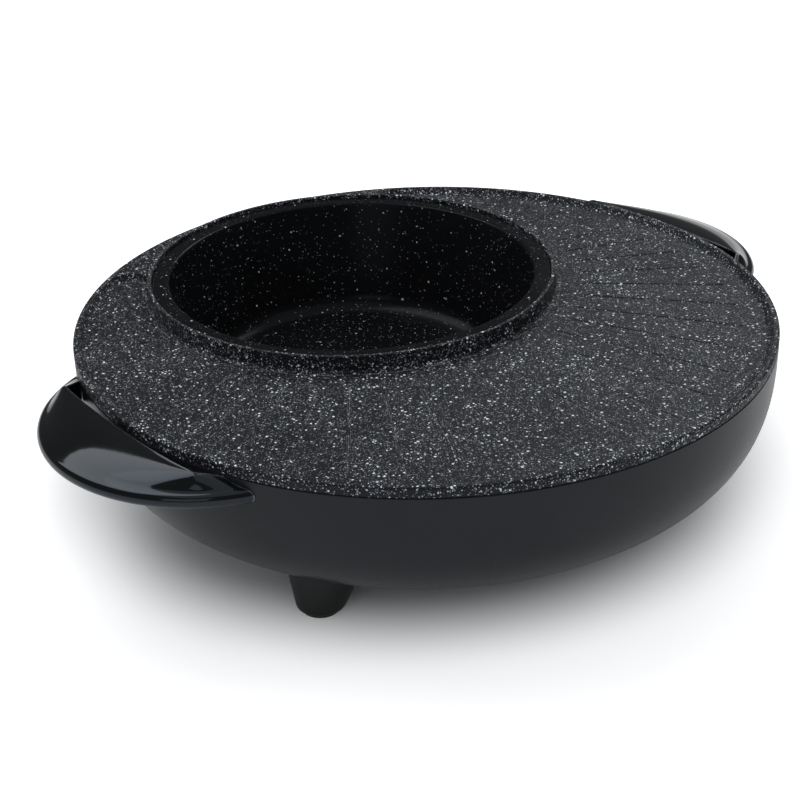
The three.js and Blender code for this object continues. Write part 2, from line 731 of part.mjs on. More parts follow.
// Knobs, spindles and the thermostats behind the panel
const skirtHeight = knobHeight - knobGripHeight;
const gripRadius = knobRadius - 2 * knobEdgeRadius;
const spindleSocket = spindleRadius + fitGap;
const knobProfile = [
  [0, 0],
  [knobRadius, 0],
  [knobRadius - knobEdgeRadius / 2, skirtHeight - knobEdgeRadius],
  [gripRadius, skirtHeight],
  [0, skirtHeight],
];
for (const [zone, y] of knobPlaces) {
  const skirt = revolve(knobProfile, knobSegments);
  const gripOutline = roundedRectangle(knobGripWidth, 2 * gripRadius, knobGripWidth / 2 - knobEdgeRadius);
  const grip = extrude(gripOutline, knobHeight / 2).translate(0, 0, knobHeight / 2);
  const bore = drum(spindleSocket, spindleSocket, -overrun, spindleDepth + fitGap, smallSegments);
  const pointer = block(
    [-knobEdgeRadius / 2, knobRadius / 3, knobHeight - knobEdgeRadius / 2],
    [knobEdgeRadius / 2, knobRadius, knobHeight + overrun]);
  const knob = without(solid(skirt).add(solid(grip)), [solid(bore), solid(pointer)]);
  const knobMesh = add(zone + "_knob", pointAlongX(surface(knob)), "glossBlack", controls);
  knobMesh.position.set(knobBack, y, controlCentre);
  const spindleBack = faceInside - fitGap - sheet - thermostatNeckLength;
  const spindle = drum(
    spindleRadius, spindleRadius, spindleBack + fitGap, knobBack + spindleDepth, smallSegments);
  add(zone + "_spindle", pointAlongX(spindle), "screwSteel", controls).position.set(0, y, controlCentre);
  const plateBack = faceInside - fitGap - sheet;
  const mount = block([plateBack, -thermostatPlateWidth / 2, -thermostatPlateHeight / 2],
    [plateBack + sheet, thermostatPlateWidth / 2, thermostatPlateHeight / 2]);
  const neck = pointAlongX(
    drum(thermostatNeck, thermostatNeck, spindleBack - sheet, plateBack + sheet / 2, smallSegments));
  const canEnd = spindleBack - thermostatLength;
  const can = pointAlongX(
    drum(thermostatRadius, thermostatRadius, canEnd, spindleBack - sheet / 2, smallSegments));
  const tabs = [-1, 1].map((side) => solid(block(
    [canEnd - tabLength, side * thermostatRadius / 2 - tabThickness / 2, -tabWidth / 2],
    [canEnd + sheet, side * thermostatRadius / 2 + tabThickness / 2, tabWidth / 2])));
  const socket = pointAlongX(drum(spindleSocket, spindleSocket, spindleBack, faceInside, smallSegments));
  const thermostat = without(joined([solid(mount), solid(neck), solid(can), ...tabs]), [solid(socket)]);
  add(zone + "_thermostat", thermostat, "sheetSteel", controls).position.set(0, y, controlCentre);
}
for (const [zone, rise] of lensPlaces) {
  const lens = revolve([
    [0, faceInside - controlWall],
    [lensRadius, faceInside - controlWall],
    [lensRadius, fasciaFront],
    [lensRadius - lensEaseDepth, fasciaFront + lensProud - lensEaseDepth / 3],
    [0, fasciaFront + lensProud],
  ], smallSegments);
  add(zone + "_lens", pointAlongX(lens), zone === "grill" ? "redLens" : "greenLens", controls)
    .position.set(0, 0, controlCentre + rise);
}

// Window and seat in the bowl for the controls, and the boss and pocket for the mains inlet
const windowWidth = knobSpacing + 2 * (thermostatRadius + windowSideGap);
const windowOutline = roundedRectangle(
  windowWidth, controlHeight - 2 * windowTopGap, controlCornerRadius - controlWall);
const controlWindow = pointAlongX(extrude(windowOutline, controlFace - controlRoot))
  .translate(controlRoot, 0, controlCentre).applyMatrix4(toCooker);
const pocketOutline = roundedRectangle(inletWidth + 2 * fitGap, inletHeight + 2 * fitGap, inletWall);
const inletPocket = pointAlongX(extrude(pocketOutline, bowlRadius)).translate(inletSeat, 0, inletCentre);
const bossOutline = roundedRectangle(
  inletWidth + 2 * inletBossWall, inletHeight + 2 * inletBossWall, inletBossWall);
const inletBoss = pointAlongX(extrude(bossOutline, bowlRadius - inletSeat + inletBossWall))
  .translate(inletSeat - inletBossWall, 0, inletCentre);
const portOutline = roundedRectangle(inletBodyWidth + 2 * fitGap, inletBodyHeight + 2 * fitGap, inletWall);
const portDepth = inletBodyDepth + fitGap;
const inletPort = pointAlongX(extrude(portOutline, portDepth + overrun))
  .translate(inletSeat - portDepth, 0, inletCentre);
const blockCorner = Math.hypot(blockX + blockLength / 2, Math.abs(blockY) + blockWidth / 2);
const blockFloor = innerHeightAt(blockCorner) + sheet;
const blockPad = block([blockX - blockLength / 2, blockY - blockWidth / 2, undersideHeight],
  [blockX + blockLength / 2, blockY + blockWidth / 2, blockFloor]);
const fastenerBosses = joined(bosses).add(solid(inletBoss)).add(solid(blockPad)).intersect(bowlSpace);
const coverScrewRadius = coverRadius - coverLedge / 2;
const coverScrewPlaces = arc(
  new THREE.Vector2(), coverScrewRadius, Math.PI / 4, 2 * Math.PI - Math.PI / 4, coverScrewCount - 1);
const coverHoles = coverScrewPlaces.map((place) => {
  const bore = drum(screwBore, screwBore, undersideHeight - overrun, ringTop + overrun, screwSegments);
  return solid(bore.translate(place.x, place.y, 0));
});
const bowl = without(bowlShell.add(fastenerBosses),
  [solid(controlWindow), solid(inletPocket), solid(inletPort), ...holes, ...coverHoles]);
add("bowl_housing", bowl, "satinBlack");
screws.forEach(([name, geometry]) => add(name, geometry, "screwSteel"));

// Mains inlet: flange, hollow body and three flat pins
const inletFlangeOutline = roundedRectangle(inletWidth, inletHeight, inletWall);
const inletBodyOutline = roundedRectangle(inletBodyWidth, inletBodyHeight, inletWall);
const inletShell = joined([
  solid(pointAlongX(extrude(inletFlangeOutline, inletFlange))
    .translate(inletSeat + fitGap, 0, inletCentre)),
  solid(pointAlongX(extrude(inletBodyOutline, inletBodyDepth + inletFlange / 2))
    .translate(inletSeat + fitGap - inletBodyDepth, 0, inletCentre)),
]);
const inletMouth = inletSeat + fitGap + inletFlange;
const inletFloor = inletMouth - inletCavityDepth;
const inletCavity = pointAlongX(extrude(
  roundedRectangle(inletBodyWidth - 2 * inletWall, inletBodyHeight - 2 * inletWall, inletWall / 2),
  inletCavityDepth + overrun)).translate(inletFloor, 0, inletCentre);
add("power_inlet", inletShell.subtract(solid(inletCavity)), "matteBlack");
const pinPlaces = [["live", -pinPitch, -pinRise], ["neutral", pinPitch, -pinRise], ["earth", 0, pinRise]];
for (const [name, y, rise] of pinPlaces) {
  const pin = block([inletFloor + fitGap, y - pinThickness / 2, inletCentre + rise - pinWidth / 2],
    [inletFloor + fitGap + pinLength, y + pinThickness / 2, inletCentre + rise + pinWidth / 2]);
  add("inlet_pin_" + name, pin, "brass");
}

// Bottom cover with a ring of vents, and its screws
const coverTop = coverCeiling - fitGap;
const coverUnder = coverTop - coverThickness;
const vents = Array.from({ length: coverVentCount }, (_, k) => {
  const vent = block(
    [ventInner, -ventWidth / 2, coverUnder - overrun],
    [ventInner + ventLength, ventWidth / 2, coverTop + overrun]);
  return solid(vent.rotateZ((2 * Math.PI * k) / coverVentCount));
});
const coverDisc = solid(drum(coverRadius, coverRadius, coverUnder, coverTop, bodySegments));
add("bottom_cover", without(coverDisc, [...vents, ...coverHoles]), "matteBlack");
coverScrewPlaces.forEach((place, i) => {
  const seat = new THREE.Vector3(place.x, place.y, coverUnder - fitGap);
  const screw = placeAlong(screwGeometry(ringTop - coverUnder), seat, new THREE.Vector3(0, 0, 1));
  add("cover_screw_" + (i + 1), screw, "screwSteel");
});

// Grill plate: a revolved disc with rim and skirt, the collar, the sunken crescent and its score lines
const rimInner = plateRadius - rimWidth;
const skirtBore = skirtRadius - skirtThickness;
const disc = solid(revolve([
  [0, floorUnder],
  [skirtBore, floorUnder],
  [skirtBore, skirtBottom],
  [skirtRadius, skirtBottom],
  [skirtRadius, flangeUnder],
  [plateRadius, flangeUnder],
  [plateRadius, plateTop - plateEdgeRadius],
  [plateRadius - plateEdgeRadius, plateTop],
  [0, plateTop],
], bodySegments));
const atPot = (geometry) => solid(geometry.translate(potCentre.x, potCentre.y, 0));
const collarSkin = collarBore - collarChamfer;
const collar = atPot(revolve([
  [collarSkin, floorUnder],
  [collarRadius + collarFootWidth, floorUnder],
  [collarRadius + collarFootWidth, floorTop],
  [collarRadius, floorTop + collarFootWidth],
  [collarRadius, collarTop - collarChamfer],
  [collarRadius - collarChamfer, collarTop],
  [collarBore, collarTop],
  [collarBore, ledgeTop],
  [ledgeBore, ledgeTop],
  [ledgeBore, ledgeUnder],
  [collarSkin, ledgeUnder],
], potSegments));
const potHole = atPot(drum(collarBore, collarBore, skirtBottom, collarTop + overrun, potSegments));
const endRim = rimInner - recessEndRadius;
const cutCollar = collarBore + collarChamfer;
const endCollar = cutCollar + recessEndRadius;
const endY = (endRim ** 2 - endCollar ** 2 + potOffset ** 2) / (2 * potOffset);
const endX = Math.sqrt(endRim ** 2 - endY ** 2);
const rimTurn = Math.atan2(endY, endX);
const collarTurn = Math.atan2(endY - potOffset, endX);
const origin = new THREE.Vector2();
const crescent = [
  ...arc(origin, plateRadius, Math.PI - rimTurn, 2 * Math.PI + rimTurn, bodySegments),
  ...arc(new THREE.Vector2(endX, endY), recessEndRadius, rimTurn, Math.PI + collarTurn, recessEndSteps),
  ...arc(potCentre, cutCollar, collarTurn, -Math.PI - collarTurn, bodySegments),
  ...arc(new THREE.Vector2(-endX, endY), recessEndRadius, -collarTurn, Math.PI - rimTurn, recessEndSteps),
];
const dishWall = drum(rimInner - rimSlope, rimInner, floorTop, plateTop, bodySegments);
const dishMouth = drum(rimInner, rimInner, plateTop - fitGap / 2, plateTop + overrun, bodySegments);
const recessHeight = recessDepth + overrun;
const recess = solid(extrude(crescent, recessHeight).translate(0, 0, floorTop))
  .intersect(solid(dishWall).add(solid(dishMouth)));
const scoreReach = plateRadius - scoreRimMargin;
const scores = [];
for (let k = -scoreCountPerSide; k < scoreCountPerSide; k += 1) {
  const angle = degrees((k + 0.5) * scorePitchDegrees);
  const along = new THREE.Vector3(Math.sin(angle), -Math.cos(angle), 0);
  const across = new THREE.Vector3(-along.y, along.x, 0);
  const inward = potOffset * along.y;
  const end = -inward + Math.sqrt(inward ** 2 - potOffset ** 2 + scoreReach ** 2);
  const mouth = (scoreWidth * (scoreDepth + overrun)) / scoreDepth / 2;
  const veeOutline = [
    new THREE.Vector2(-mouth, overrun),
    new THREE.Vector2(0, -scoreDepth),
    new THREE.Vector2(mouth, overrun),
  ];
  const vee = extrude(veeOutline, end - scoreStart);
  vee.applyMatrix4(new THREE.Matrix4().makeBasis(across, new THREE.Vector3(0, 0, 1), along));
  vee.translate(potCentre.x + along.x * scoreStart, potCentre.y + along.y * scoreStart, floorTop);
  scores.push(solid(vee));
}
const grillPlate = without(disc.subtract(recess).subtract(potHole).add(collar), scores);
add("grill_plate", grillPlate, "stoneCoat");

// Reflector pan with the well round the pot; the well's floor keeps clear of the bowl
const panFlangeRadius = rimBore - fitGap;
const panMouth = panFlangeRadius - panFlangeWidth;
const panFoot = panMouth - panSlope;
const wellTop = panFoot - potOffset - fitGap;
const wellFoot = innerRadiusAt(wellUnder) - potOffset - wellBowlGap;
const panAbove = panFlangeUnder + 2 * sheet;
const panOuter = solid(revolve([
  [0, panUnder],
  [panFoot, panUnder],
  [panMouth, panFlangeUnder],
  [panFlangeRadius, panFlangeUnder],
  [panFlangeRadius, panFlangeUnder + sheet],
  [0, panFlangeUnder + sheet],
], bodySegments));
const wellOuter = atPot(drum(wellFoot, wellTop, wellUnder, panFlangeUnder, potSegments));
const panInner = solid(drum(panFoot - sheet, panMouth - sheet, panFloor, panAbove, bodySegments));
const wellInner = atPot(drum(wellFoot - sheet, wellTop - sheet, wellFloor, panAbove, potSegments));
const grillEndRadius = skirtRadius - skirtThickness;
const loopOuter = grillEndRadius - grillLoopOuterInset;
const loopInner = cutCollar + grillLoopInnerInset;

// The end of a heating tube: it runs past its last point and bends down into a straight leg
function legDown(from, point, height, bend, leg) {
  const out = point.clone().sub(from).normalize();
  const at = (turn, drop) => {
    const reach = bend * Math.sin(degrees(turn));
    const fall = bend * (1 - Math.cos(degrees(turn))) + drop;
    return new THREE.Vector3(point.x + out.x * reach, point.y + out.y * reach, height - fall);
  };
  return [...legTurns.map((turn) => at(turn, 0)), at(legTurns[2], leg / 2), at(legTurns[2], leg)];
}

// Hairpin under the grill crescent: out along the rim, back along the collar, both ends on the right
function grillRoute() {
  const flat = (point) => new THREE.Vector3(point.x, point.y, grillTubeHeight);
  const outerFrom = degrees(grillLoopEndDegrees);
  const innerFrom = -degrees(grillLoopBackDegrees);
  const outer = arc(origin, loopOuter, outerFrom, -Math.PI - outerFrom, grillLoopSteps);
  const inner = arc(potCentre, loopInner, -Math.PI - innerFrom, innerFrom, grillLoopSteps);
  const [beforeTurn, turnStart] = outer.slice(-2);
  const [beforeEnd, end] = inner.slice(-2);
  const out = turnStart.clone().sub(beforeTurn).normalize();
  const turn = turnStart.clone().add(inner[0]).divideScalar(2)
    .addScaledVector(out, turnStart.distanceTo(inner[0]) / 2);
  return [
    ...legDown(outer[1], outer[0], grillTubeHeight, tubeBend, terminalLength).reverse(),
    ...outer.map(flat),
    flat(turn),
    ...inner.map(flat),
    ...legDown(beforeEnd, end, grillTubeHeight, tubeBend, terminalLength),
  ];
}

// Open ring under the pot, both ends turned down through the well's floor
function potRoute() {
  const half = degrees(potLoopGapDegrees) / 2;
  const front = -Math.PI / 2;
  const ring = arc(potCentre, potLoopRadius, front + half, front + 2 * Math.PI - half, potLoopSteps);
  const [beforeEnd, end] = ring.slice(-2);
  return [
    ...legDown(ring[1], ring[0], potTubeHeight, potTubeBend, potTerminalLength).reverse(),
    ...ring.map((point) => new THREE.Vector3(point.x, point.y, potTubeHeight)),
    ...legDown(beforeEnd, end, potTubeHeight, potTubeBend, potTerminalLength),
  ];
}

const grillPath = grillRoute();
const potPath = potRoute();
const panHoles = [grillPath[0], grillPath[grillPath.length - 1]].map((point) => {
  const hole = drum(terminalHole, terminalHole, panUnder - overrun, panFloor + overrun, smallSegments);
  return solid(hole.translate(point.x, point.y, 0));
});
const potLegs = [potPath, [...potPath].reverse()];
const wellHoles = potLegs.map((points) => {
  const foot = points[0];
  const bend = points[legPoints];
  const run = Math.hypot(bend.x - foot.x, bend.y - foot.y);
  const outline = roundedRectangle(run + 2 * terminalHole, 2 * terminalHole, terminalHole - fitGap);
  const slotHole = extrude(outline, 2 * sheet + overrun);
  slotHole.rotateZ(Math.atan2(bend.y - foot.y, bend.x - foot.x));
  return solid(slotHole.translate((foot.x + bend.x) / 2, (foot.y + bend.y) / 2, wellUnder - overrun / 2));
});
const terminalHoles = [...panHoles, ...wellHoles];
const pan = without(panOuter.add(wellOuter), [panInner, wellInner, ...terminalHoles]);
add("reflector_pan", pan, "sheetSteel");
add("grill_element", tube(grillPath, tubeRadius, tubeSides, grillTubeSteps), "tubeSteel");
add("pot_element", tube(potPath, tubeRadius, tubeSides, potTubeSteps), "tubeSteel");

// Spring-steel clips that carry the grill tube above the pan
const clipTop = grillTubeHeight - tubeRadius - fitGap;
const clipBottom = panFloor + fitGap;
const clipProfile = [
  [0, clipBottom],
  [clipFoot, clipBottom],
  [clipFoot, clipBottom + sheet],
  [sheet, clipBottom + sheet],
  [sheet, clipTop - sheet],
  [clipFoot, clipTop - sheet],
  [clipFoot, clipTop],
  [0, clipTop],
];
const clipPlaces = [
  ...outerClipTurns.map((angle) => [origin, loopOuter, angle]),
  ...innerClipTurns.map((angle) => [potCentre, loopInner, angle]),
];
clipPlaces.forEach(([centre, radius, angle], i) => {
  const outline = clipProfile.map(([x, z]) => new THREE.Vector2(x - clipFoot / 2, z));
  const strip = extrude(outline, clipWidth);
  strip.rotateX(Math.PI / 2).translate(0, clipWidth / 2, 0);
  const clip = add("element_clip_" + (i + 1), strip, "sheetSteel");
  const place = onCircle(centre, radius, degrees(angle));
  clip.position.set(place.x, place.y, 0);
  clip.rotation.z = degrees(angle);
});

// Hot pot: drawn pan with a flat flange that hangs on the collar's ledge
const flangeRadius = collarBore - runGap;
const potThroat = ledgeBore - runGap;
const potBase = wellFoot - sheet - wellAirGap;
const cornerArc = (radius, centreRadius, centreHeight) => cornerTurns.map((turn) => {
  const angle = degrees(turn);
  return [centreRadius + radius * Math.sin(angle), centreHeight - radius * Math.cos(angle)];
});
const innerCorner = potCornerRadius - potWall;
const cornerRadius = potBase - potCornerRadius;
const potProfile = [
  [0, potUnder],
  ...cornerArc(potCornerRadius, cornerRadius, potUnder + potCornerRadius),
  [potThroat, potRim],
  [flangeRadius, potRim],
  [flangeRadius, potRim + flangeThickness],
  [potThroat - potWall + potFlangeEdgeRadius, potRim + flangeThickness],
  [potThroat - potWall, potRim + flangeThickness - potFlangeEdgeRadius],
  ...cornerArc(innerCorner, cornerRadius, potUnder + potCornerRadius).reverse(),
  [0, potUnder + potWall],
];
add("hot_pot", atPot(revolve(potProfile, potSegments)), "potCoat");

// Terminal block on its pad, and the thermal fuse under the pan
const blockBottom = blockFloor + fitGap;
const blockBase = block([blockX - blockLength / 2, blockY - blockWidth / 2, blockBottom],
  [blockX + blockLength / 2, blockY + blockWidth / 2, blockBottom + blockPadHeight]);
const ridgeLength = blockLength - 2 * blockStep;
const ridgeWidth = blockWidth - 4 * blockStep;
const blockRidge = block([blockX - ridgeLength / 2, blockY - ridgeWidth / 2, blockBottom],
  [blockX + ridgeLength / 2, blockY + ridgeWidth / 2, blockBottom + blockHeight]);
add("terminal_block", solid(blockBase).add(solid(blockRidge)), "ceramic");
const fuse = pointAlongX(drum(fuseRadius, fuseRadius, -fuseLength / 2, fuseLength / 2, screwSegments));
add("thermal_fuse", fuse, "ceramic").position.set(0, fuseY, panUnder - fitGap - fuseRadius);

export default cooker;
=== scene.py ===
import cmath
import json
import math

import bmesh
import bpy
import numpy as np
from mathutils import Matrix, Vector

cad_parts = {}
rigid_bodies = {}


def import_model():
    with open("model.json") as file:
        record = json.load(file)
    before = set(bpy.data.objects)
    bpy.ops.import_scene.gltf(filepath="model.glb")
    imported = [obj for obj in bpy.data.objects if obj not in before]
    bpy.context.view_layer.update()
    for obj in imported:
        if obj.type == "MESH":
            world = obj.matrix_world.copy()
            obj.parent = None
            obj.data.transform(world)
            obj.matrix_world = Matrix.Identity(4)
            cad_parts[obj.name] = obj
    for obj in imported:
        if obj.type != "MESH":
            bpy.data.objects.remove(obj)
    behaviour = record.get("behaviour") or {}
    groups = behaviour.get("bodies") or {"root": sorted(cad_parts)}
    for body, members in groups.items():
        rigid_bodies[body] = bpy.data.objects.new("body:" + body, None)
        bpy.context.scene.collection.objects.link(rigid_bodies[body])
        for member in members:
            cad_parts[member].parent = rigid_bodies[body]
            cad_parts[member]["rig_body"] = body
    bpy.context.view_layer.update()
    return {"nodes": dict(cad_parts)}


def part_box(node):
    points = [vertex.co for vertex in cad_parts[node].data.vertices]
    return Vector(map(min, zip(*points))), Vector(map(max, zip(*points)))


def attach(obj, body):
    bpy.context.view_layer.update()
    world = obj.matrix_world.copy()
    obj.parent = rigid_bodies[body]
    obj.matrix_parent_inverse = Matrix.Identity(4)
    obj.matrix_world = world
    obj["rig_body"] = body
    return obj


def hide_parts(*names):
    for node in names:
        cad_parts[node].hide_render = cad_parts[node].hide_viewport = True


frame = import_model()


# View
# The photograph's place and aim: seen from the front left, a little over half a metre up,
# with a slight roll, on a frame 36 mm wide.

eye = (-0.57071, -0.68115, 0.52029)
aim = (0.5561, 0.6880, -0.4664)
roll = -1.6027


def stand(name, data):
    """A new object in the scene."""
    made = bpy.data.objects.new(name, data)
    bpy.context.scene.collection.objects.link(made)
    return made


def pointed(name, data, at, direction, roll):
    """A camera or a lamp in its place, looking along a direction, rolled by some degrees."""
    look = Vector(direction).to_track_quat("-Z", "Y").to_matrix().to_4x4()
    made = stand(name, data)
    made.matrix_world = Matrix.Translation(at) @ look @ Matrix.Rotation(math.radians(roll), 4, "Z")
    return made


camera = pointed("studio_camera", bpy.data.cameras.new("studio_camera"), eye, aim, roll)
camera.data.sensor_width = 36
camera.data.lens = 76.5
camera.data.clip_start = 0.01
bpy.context.scene.camera = camera
bpy.context.scene.view_settings.view_transform = "Standard"


# Table and light
# A seamless white table top in a plain studio: a broad softbox behind the cooker that shows
# in its glossy handles, a large one overhead, and two weak ones at the back and front left.


def feed(tree, socket, value):
    """Links a socket to another one, or gives it a value of its own."""
    if isinstance(value, bpy.types.NodeSocket):
        tree.links.new(value, socket)
    elif value is not None:
        plain_colour = socket.type == "RGBA" and len(value) == 3
        socket.default_value = (*value, 1) if plain_colour else value


def place(tree, kind, feeds=None, **settings):
    made = tree.nodes.new("ShaderNode" + kind)
    for key, value in settings.items():
        setattr(made, key, value)
    for key, value in (feeds or {}).items():
        feed(tree, made.inputs[key], value)
    return made


def sums(tree, operation, first, second=None):
    return place(tree, "Math", {0: first, 1: second}, operation=operation).outputs["Value"]


def spread(tree, value, low, high, new_low=0.0, new_high=1.0, curve="LINEAR"):
    feeds = {"Value": value, 1: low, 2: high, 3: new_low, 4: new_high}
    return place(tree, "MapRange", feeds, interpolation_type=curve).outputs["Result"]


def blended(tree, mask, first, second):
    return place(tree, "Mix", {0: mask, 6: first, 7: second}, data_type="RGBA").outputs[2]


def vectors(tree, operation, feeds):
    return place(tree, "VectorMath", feeds, operation=operation).outputs


def mixed(tree, mask, first, second):
    """The first shader where the mask is 0, and the second where it is 1."""
    return place(tree, "MixShader", {0: mask, 1: first, 2: second}).outputs[0]


def circle(centre, radius, turn):
    return centre[0] + radius * math.cos(turn), centre[1] + radius * math.sin(turn)


table_radius = 5.0
table_sides = 96
# Where the painted shadow round the cooker is centred, and the distances over which the table's painted glow
# rises
painted_shadow_middle = (0.022, 0.047, 0)
painted_shadow_inner, painted_shadow_outer = 0.174, 0.25
table_edge = [(*circle((0, 0), table_radius, 2 * math.pi * k / table_sides), 0) for k in range(table_sides)]
table_mesh = bpy.data.meshes.new("table_top")
table_mesh.from_pydata(table_edge, [], [list(range(table_sides))])
stand("table_top", table_mesh)

table_finish = bpy.data.materials.new("white_table")
table_finish.use_nodes = True
tree = table_finish.node_tree
tree.nodes.clear()
where = place(tree, "TexCoord").outputs["Object"]
mottle = place(tree, "TexNoise", {"Vector": where, "Scale": 3.0, "Detail": 3.0}).outputs["Fac"]
pale = blended(tree, mottle, (0.85, 0.856, 0.862), (0.872, 0.876, 0.88))
table_skin = place(tree, "BsdfDiffuse", {"Color": pale}).outputs[0]
# The table glows for camera rays, and a little for glossy ones, more the farther it lies from the cooker:
# painted light that whitens the table, and a painted shadow round the cooker where the glow fades out
outwards = vectors(tree, "SUBTRACT", {0: where, 1: painted_shadow_middle})["Vector"]
away = vectors(tree, "LENGTH", {0: outwards})["Value"]
lift = spread(tree, away, painted_shadow_inner, painted_shadow_outer, 0.0, 0.58, "SMOOTHSTEP")
painted_glow = place(tree, "Emission", {"Strength": lift}).outputs[0]
painted_glow_table = place(tree, "AddShader", {0: table_skin, 1: painted_glow}).outputs[0]
seen = place(tree, "LightPath").outputs
shown = sums(tree, "MAXIMUM", seen["Is Camera Ray"], sums(tree, "MULTIPLY", seen["Is Glossy Ray"], 0.2))
from_above = mixed(tree, shown, table_skin, painted_glow_table)
from_below = place(tree, "BsdfTransparent").outputs[0]
backfacing = place(tree, "NewGeometry").outputs["Backfacing"]
place(tree, "OutputMaterial", {"Surface": mixed(tree, backfacing, from_above, from_below)})
table_mesh.materials.append(table_finish)

studio = bpy.data.worlds.new("pale_studio")
bpy.context.scene.world = studio
studio.use_nodes = True
tree = studio.node_tree
tree.nodes.clear()
direction = place(tree, "TexCoord").outputs["Generated"]
upwards = place(tree, "SeparateXYZ", {"Vector": direction}).outputs["Z"]
dome = spread(tree, upwards, -0.02, 0.08, 0.8, 0.1, "SMOOTHSTEP")
backdrop = place(tree, "Background", {"Color": (1, 1, 1), "Strength": 1.0}).outputs[0]
fill = place(tree, "Background", {"Color": (0.95, 0.975, 1), "Strength": 0.46}).outputs[0]
gloss = place(tree, "Background", {"Color": dome, "Strength": 1.0}).outputs[0]
seen = place(tree, "LightPath").outputs
mirrored = sums(tree, "MAXIMUM", seen["Is Glossy Ray"], seen["Is Transmission Ray"])
around = mixed(tree, mirrored, fill, gloss)
place(tree, "OutputWorld", {"Surface": mixed(tree, seen["Is Camera Ray"], around, backdrop)})


def softbox(name, at, towards, width, height, power, tilt=0):
    lamp = bpy.data.lights.new(name, "AREA")
    lamp.shape = "RECTANGLE"
    lamp.size = width
    lamp.size_y = height
    lamp.energy = power
    pointed(name, lamp, at, Vector(towards) - Vector(at), tilt)


softbox("softbox_rear", (-0.335, 0.794, 1.365), (-0.2, 0, 0.1), 0.905, 1.15, 6.4, -23.5)
softbox("softbox_back", (1.08, 0.48, 1.02), (0, 0, 0.1), 0.7, 0.5, 3)
softbox("softbox_top", (0.3, -0.1, 2.2), (0, 0, 0.1), 3.0, 3.0, 12)
softbox("softbox_front", (-1.6, -1.1, 1.0), (0, 0, 0.1), 1.0, 1.0, 2)


# Bowl housing
# One deep moulding of satin black heat-resistant plastic: a round wall that curves in to a flat
# underside, with a ledge for the pan inside its rim, screw bosses, a window for the controls
# and a boxed seat for the mains inlet.

bowl_radius = 0.2
bowl_flat = 0.06
bowl_top = 0.1038
bowl_depth = 0.09
bowl_bottom = bowl_top - bowl_depth
bowl_power = 2 / 2.94
bowl_wall = 0.003
bowl_turns = 192
rim_bore = bowl_radius - bowl_wall
ledge_width = 0.0035
pan_ledge_top = bowl_top - 0.0091
pan_ledge_foot = pan_ledge_top - 0.0037
pan_ledge_root = pan_ledge_foot - ledge_width
pan_ledge_bore = rim_bore - ledge_width
cover_radius = 0.1037
cover_seat_width = 0.008
cover_thickness = 0.002
bowl_colour = (0.0138, 0.0148, 0.0186)
# The play between pieces that touch, and how far a cutter runs past a face
fit, past = 0.0003, 0.008


def bowl_point(turn, inset):
    def at(angle):
        wide = max(math.cos(angle), 0.0) ** bowl_power
        deep = max(math.sin(angle), 0.0) ** bowl_power
        return np.array((bowl_flat + (bowl_radius - bowl_flat) * wide, bowl_top - bowl_depth * deep))

    nudge = 0.002
    run = at(min(turn + nudge, math.pi / 2)) - at(max(turn - nudge, 0.0))
    run /= np.linalg.norm(run)
    return at(turn) + inset * np.array((run[1], -run[0]))


def bowl_outline(inset, stations=120):
    return [bowl_point(k * math.pi / 2 / stations, inset) for k in range(stations + 1)]


def read_down(curve, axis, value):
    """Where an outline of (radius, height), read downwards, passes a radius or a height."""
    k = max(next((i for i, p in enumerate(curve) if p[axis] <= value), len(curve) - 1), 1)
    a, b = curve[k - 1], curve[k]
    share = (a[axis] - value) / (a[axis] - b[axis])
    return a[1 - axis] + (b[1 - axis] - a[1 - axis]) * share


def eased(points, steps=5):
    """A closed outline of (x, y, ease) corners, each corner rounded to its own radius."""
    out = []
    for k, (x, y, *ease) in enumerate(points):
        here = complex(x, y)
        if not sum(ease):
            out.append(here)
            continue
        before, after = (complex(*points[n % len(points)][:2]) - here for n in (k - 1, k + 1))
        half = abs(cmath.phase(after / before)) / 2
        reach = min(ease[0] / math.tan(half), 0.49 * abs(before), 0.49 * abs(after))
        before, after = before / abs(before), after / abs(after)
        middle = (before + after) / abs(before + after) * reach / math.cos(half)
        start, end = before * reach - middle, after * reach - middle
        turn = cmath.phase(end / start)
        out += [here + middle + start * cmath.rect(1, turn * i / steps) for i in range(steps + 1)]
    return [(spot.real, spot.imag) for spot in out]


def lofted(name, *forms, closed=False):
    """One piece of skins over rings of as many points, each with flat ends, or closed in a loop."""
    points, faces = [], []
    for rings in forms:
        first, count = len(points), len(rings[0])
        points += [tuple(p) for ring in rings for p in ring]
        if not closed:
            faces += [list(range(first, first + count)), list(range(len(points) - count, len(points)))]
        for i in range(len(rings) - (not closed)):
            a, b = first + i * count, first + (i + 1) % len(rings) * count
            for k in range(count):
                j = (k + 1) % count
                faces.append([a + k, a + j, b + j, b + k])
    mesh = bpy.data.meshes.new(name)
    mesh.from_pydata(points, [], faces)
    form = bmesh.new()
    form.from_mesh(mesh)
    bmesh.ops.remove_doubles(form, verts=form.verts, dist=1e-6)
    bmesh.ops.dissolve_degenerate(form, edges=form.edges, dist=1e-7)
    bmesh.ops.recalc_face_normals(form, faces=form.faces)
    form.to_mesh(mesh)
    form.free()
    return stand(name, mesh)


def prism(name, outline, axis, low, high):
    """A flat outline carried straight along X, Y or Z, which are 0, 1 and 2."""
    return lofted(name, [[(*p[:axis], end, *p[axis:]) for p in outline] for end in (low, high)])


def turned(name, outline, turns, centre=(0, 0)):
    """A form turned about an upright axis from an outline of (radius, height)."""
    rings = [
        [(*circle(centre, radius, 2 * math.pi * k / turns), height) for k in range(turns)]
        for radius, height in outline
    ]
    return lofted(name, rings, closed=outline[0][0] > 0)


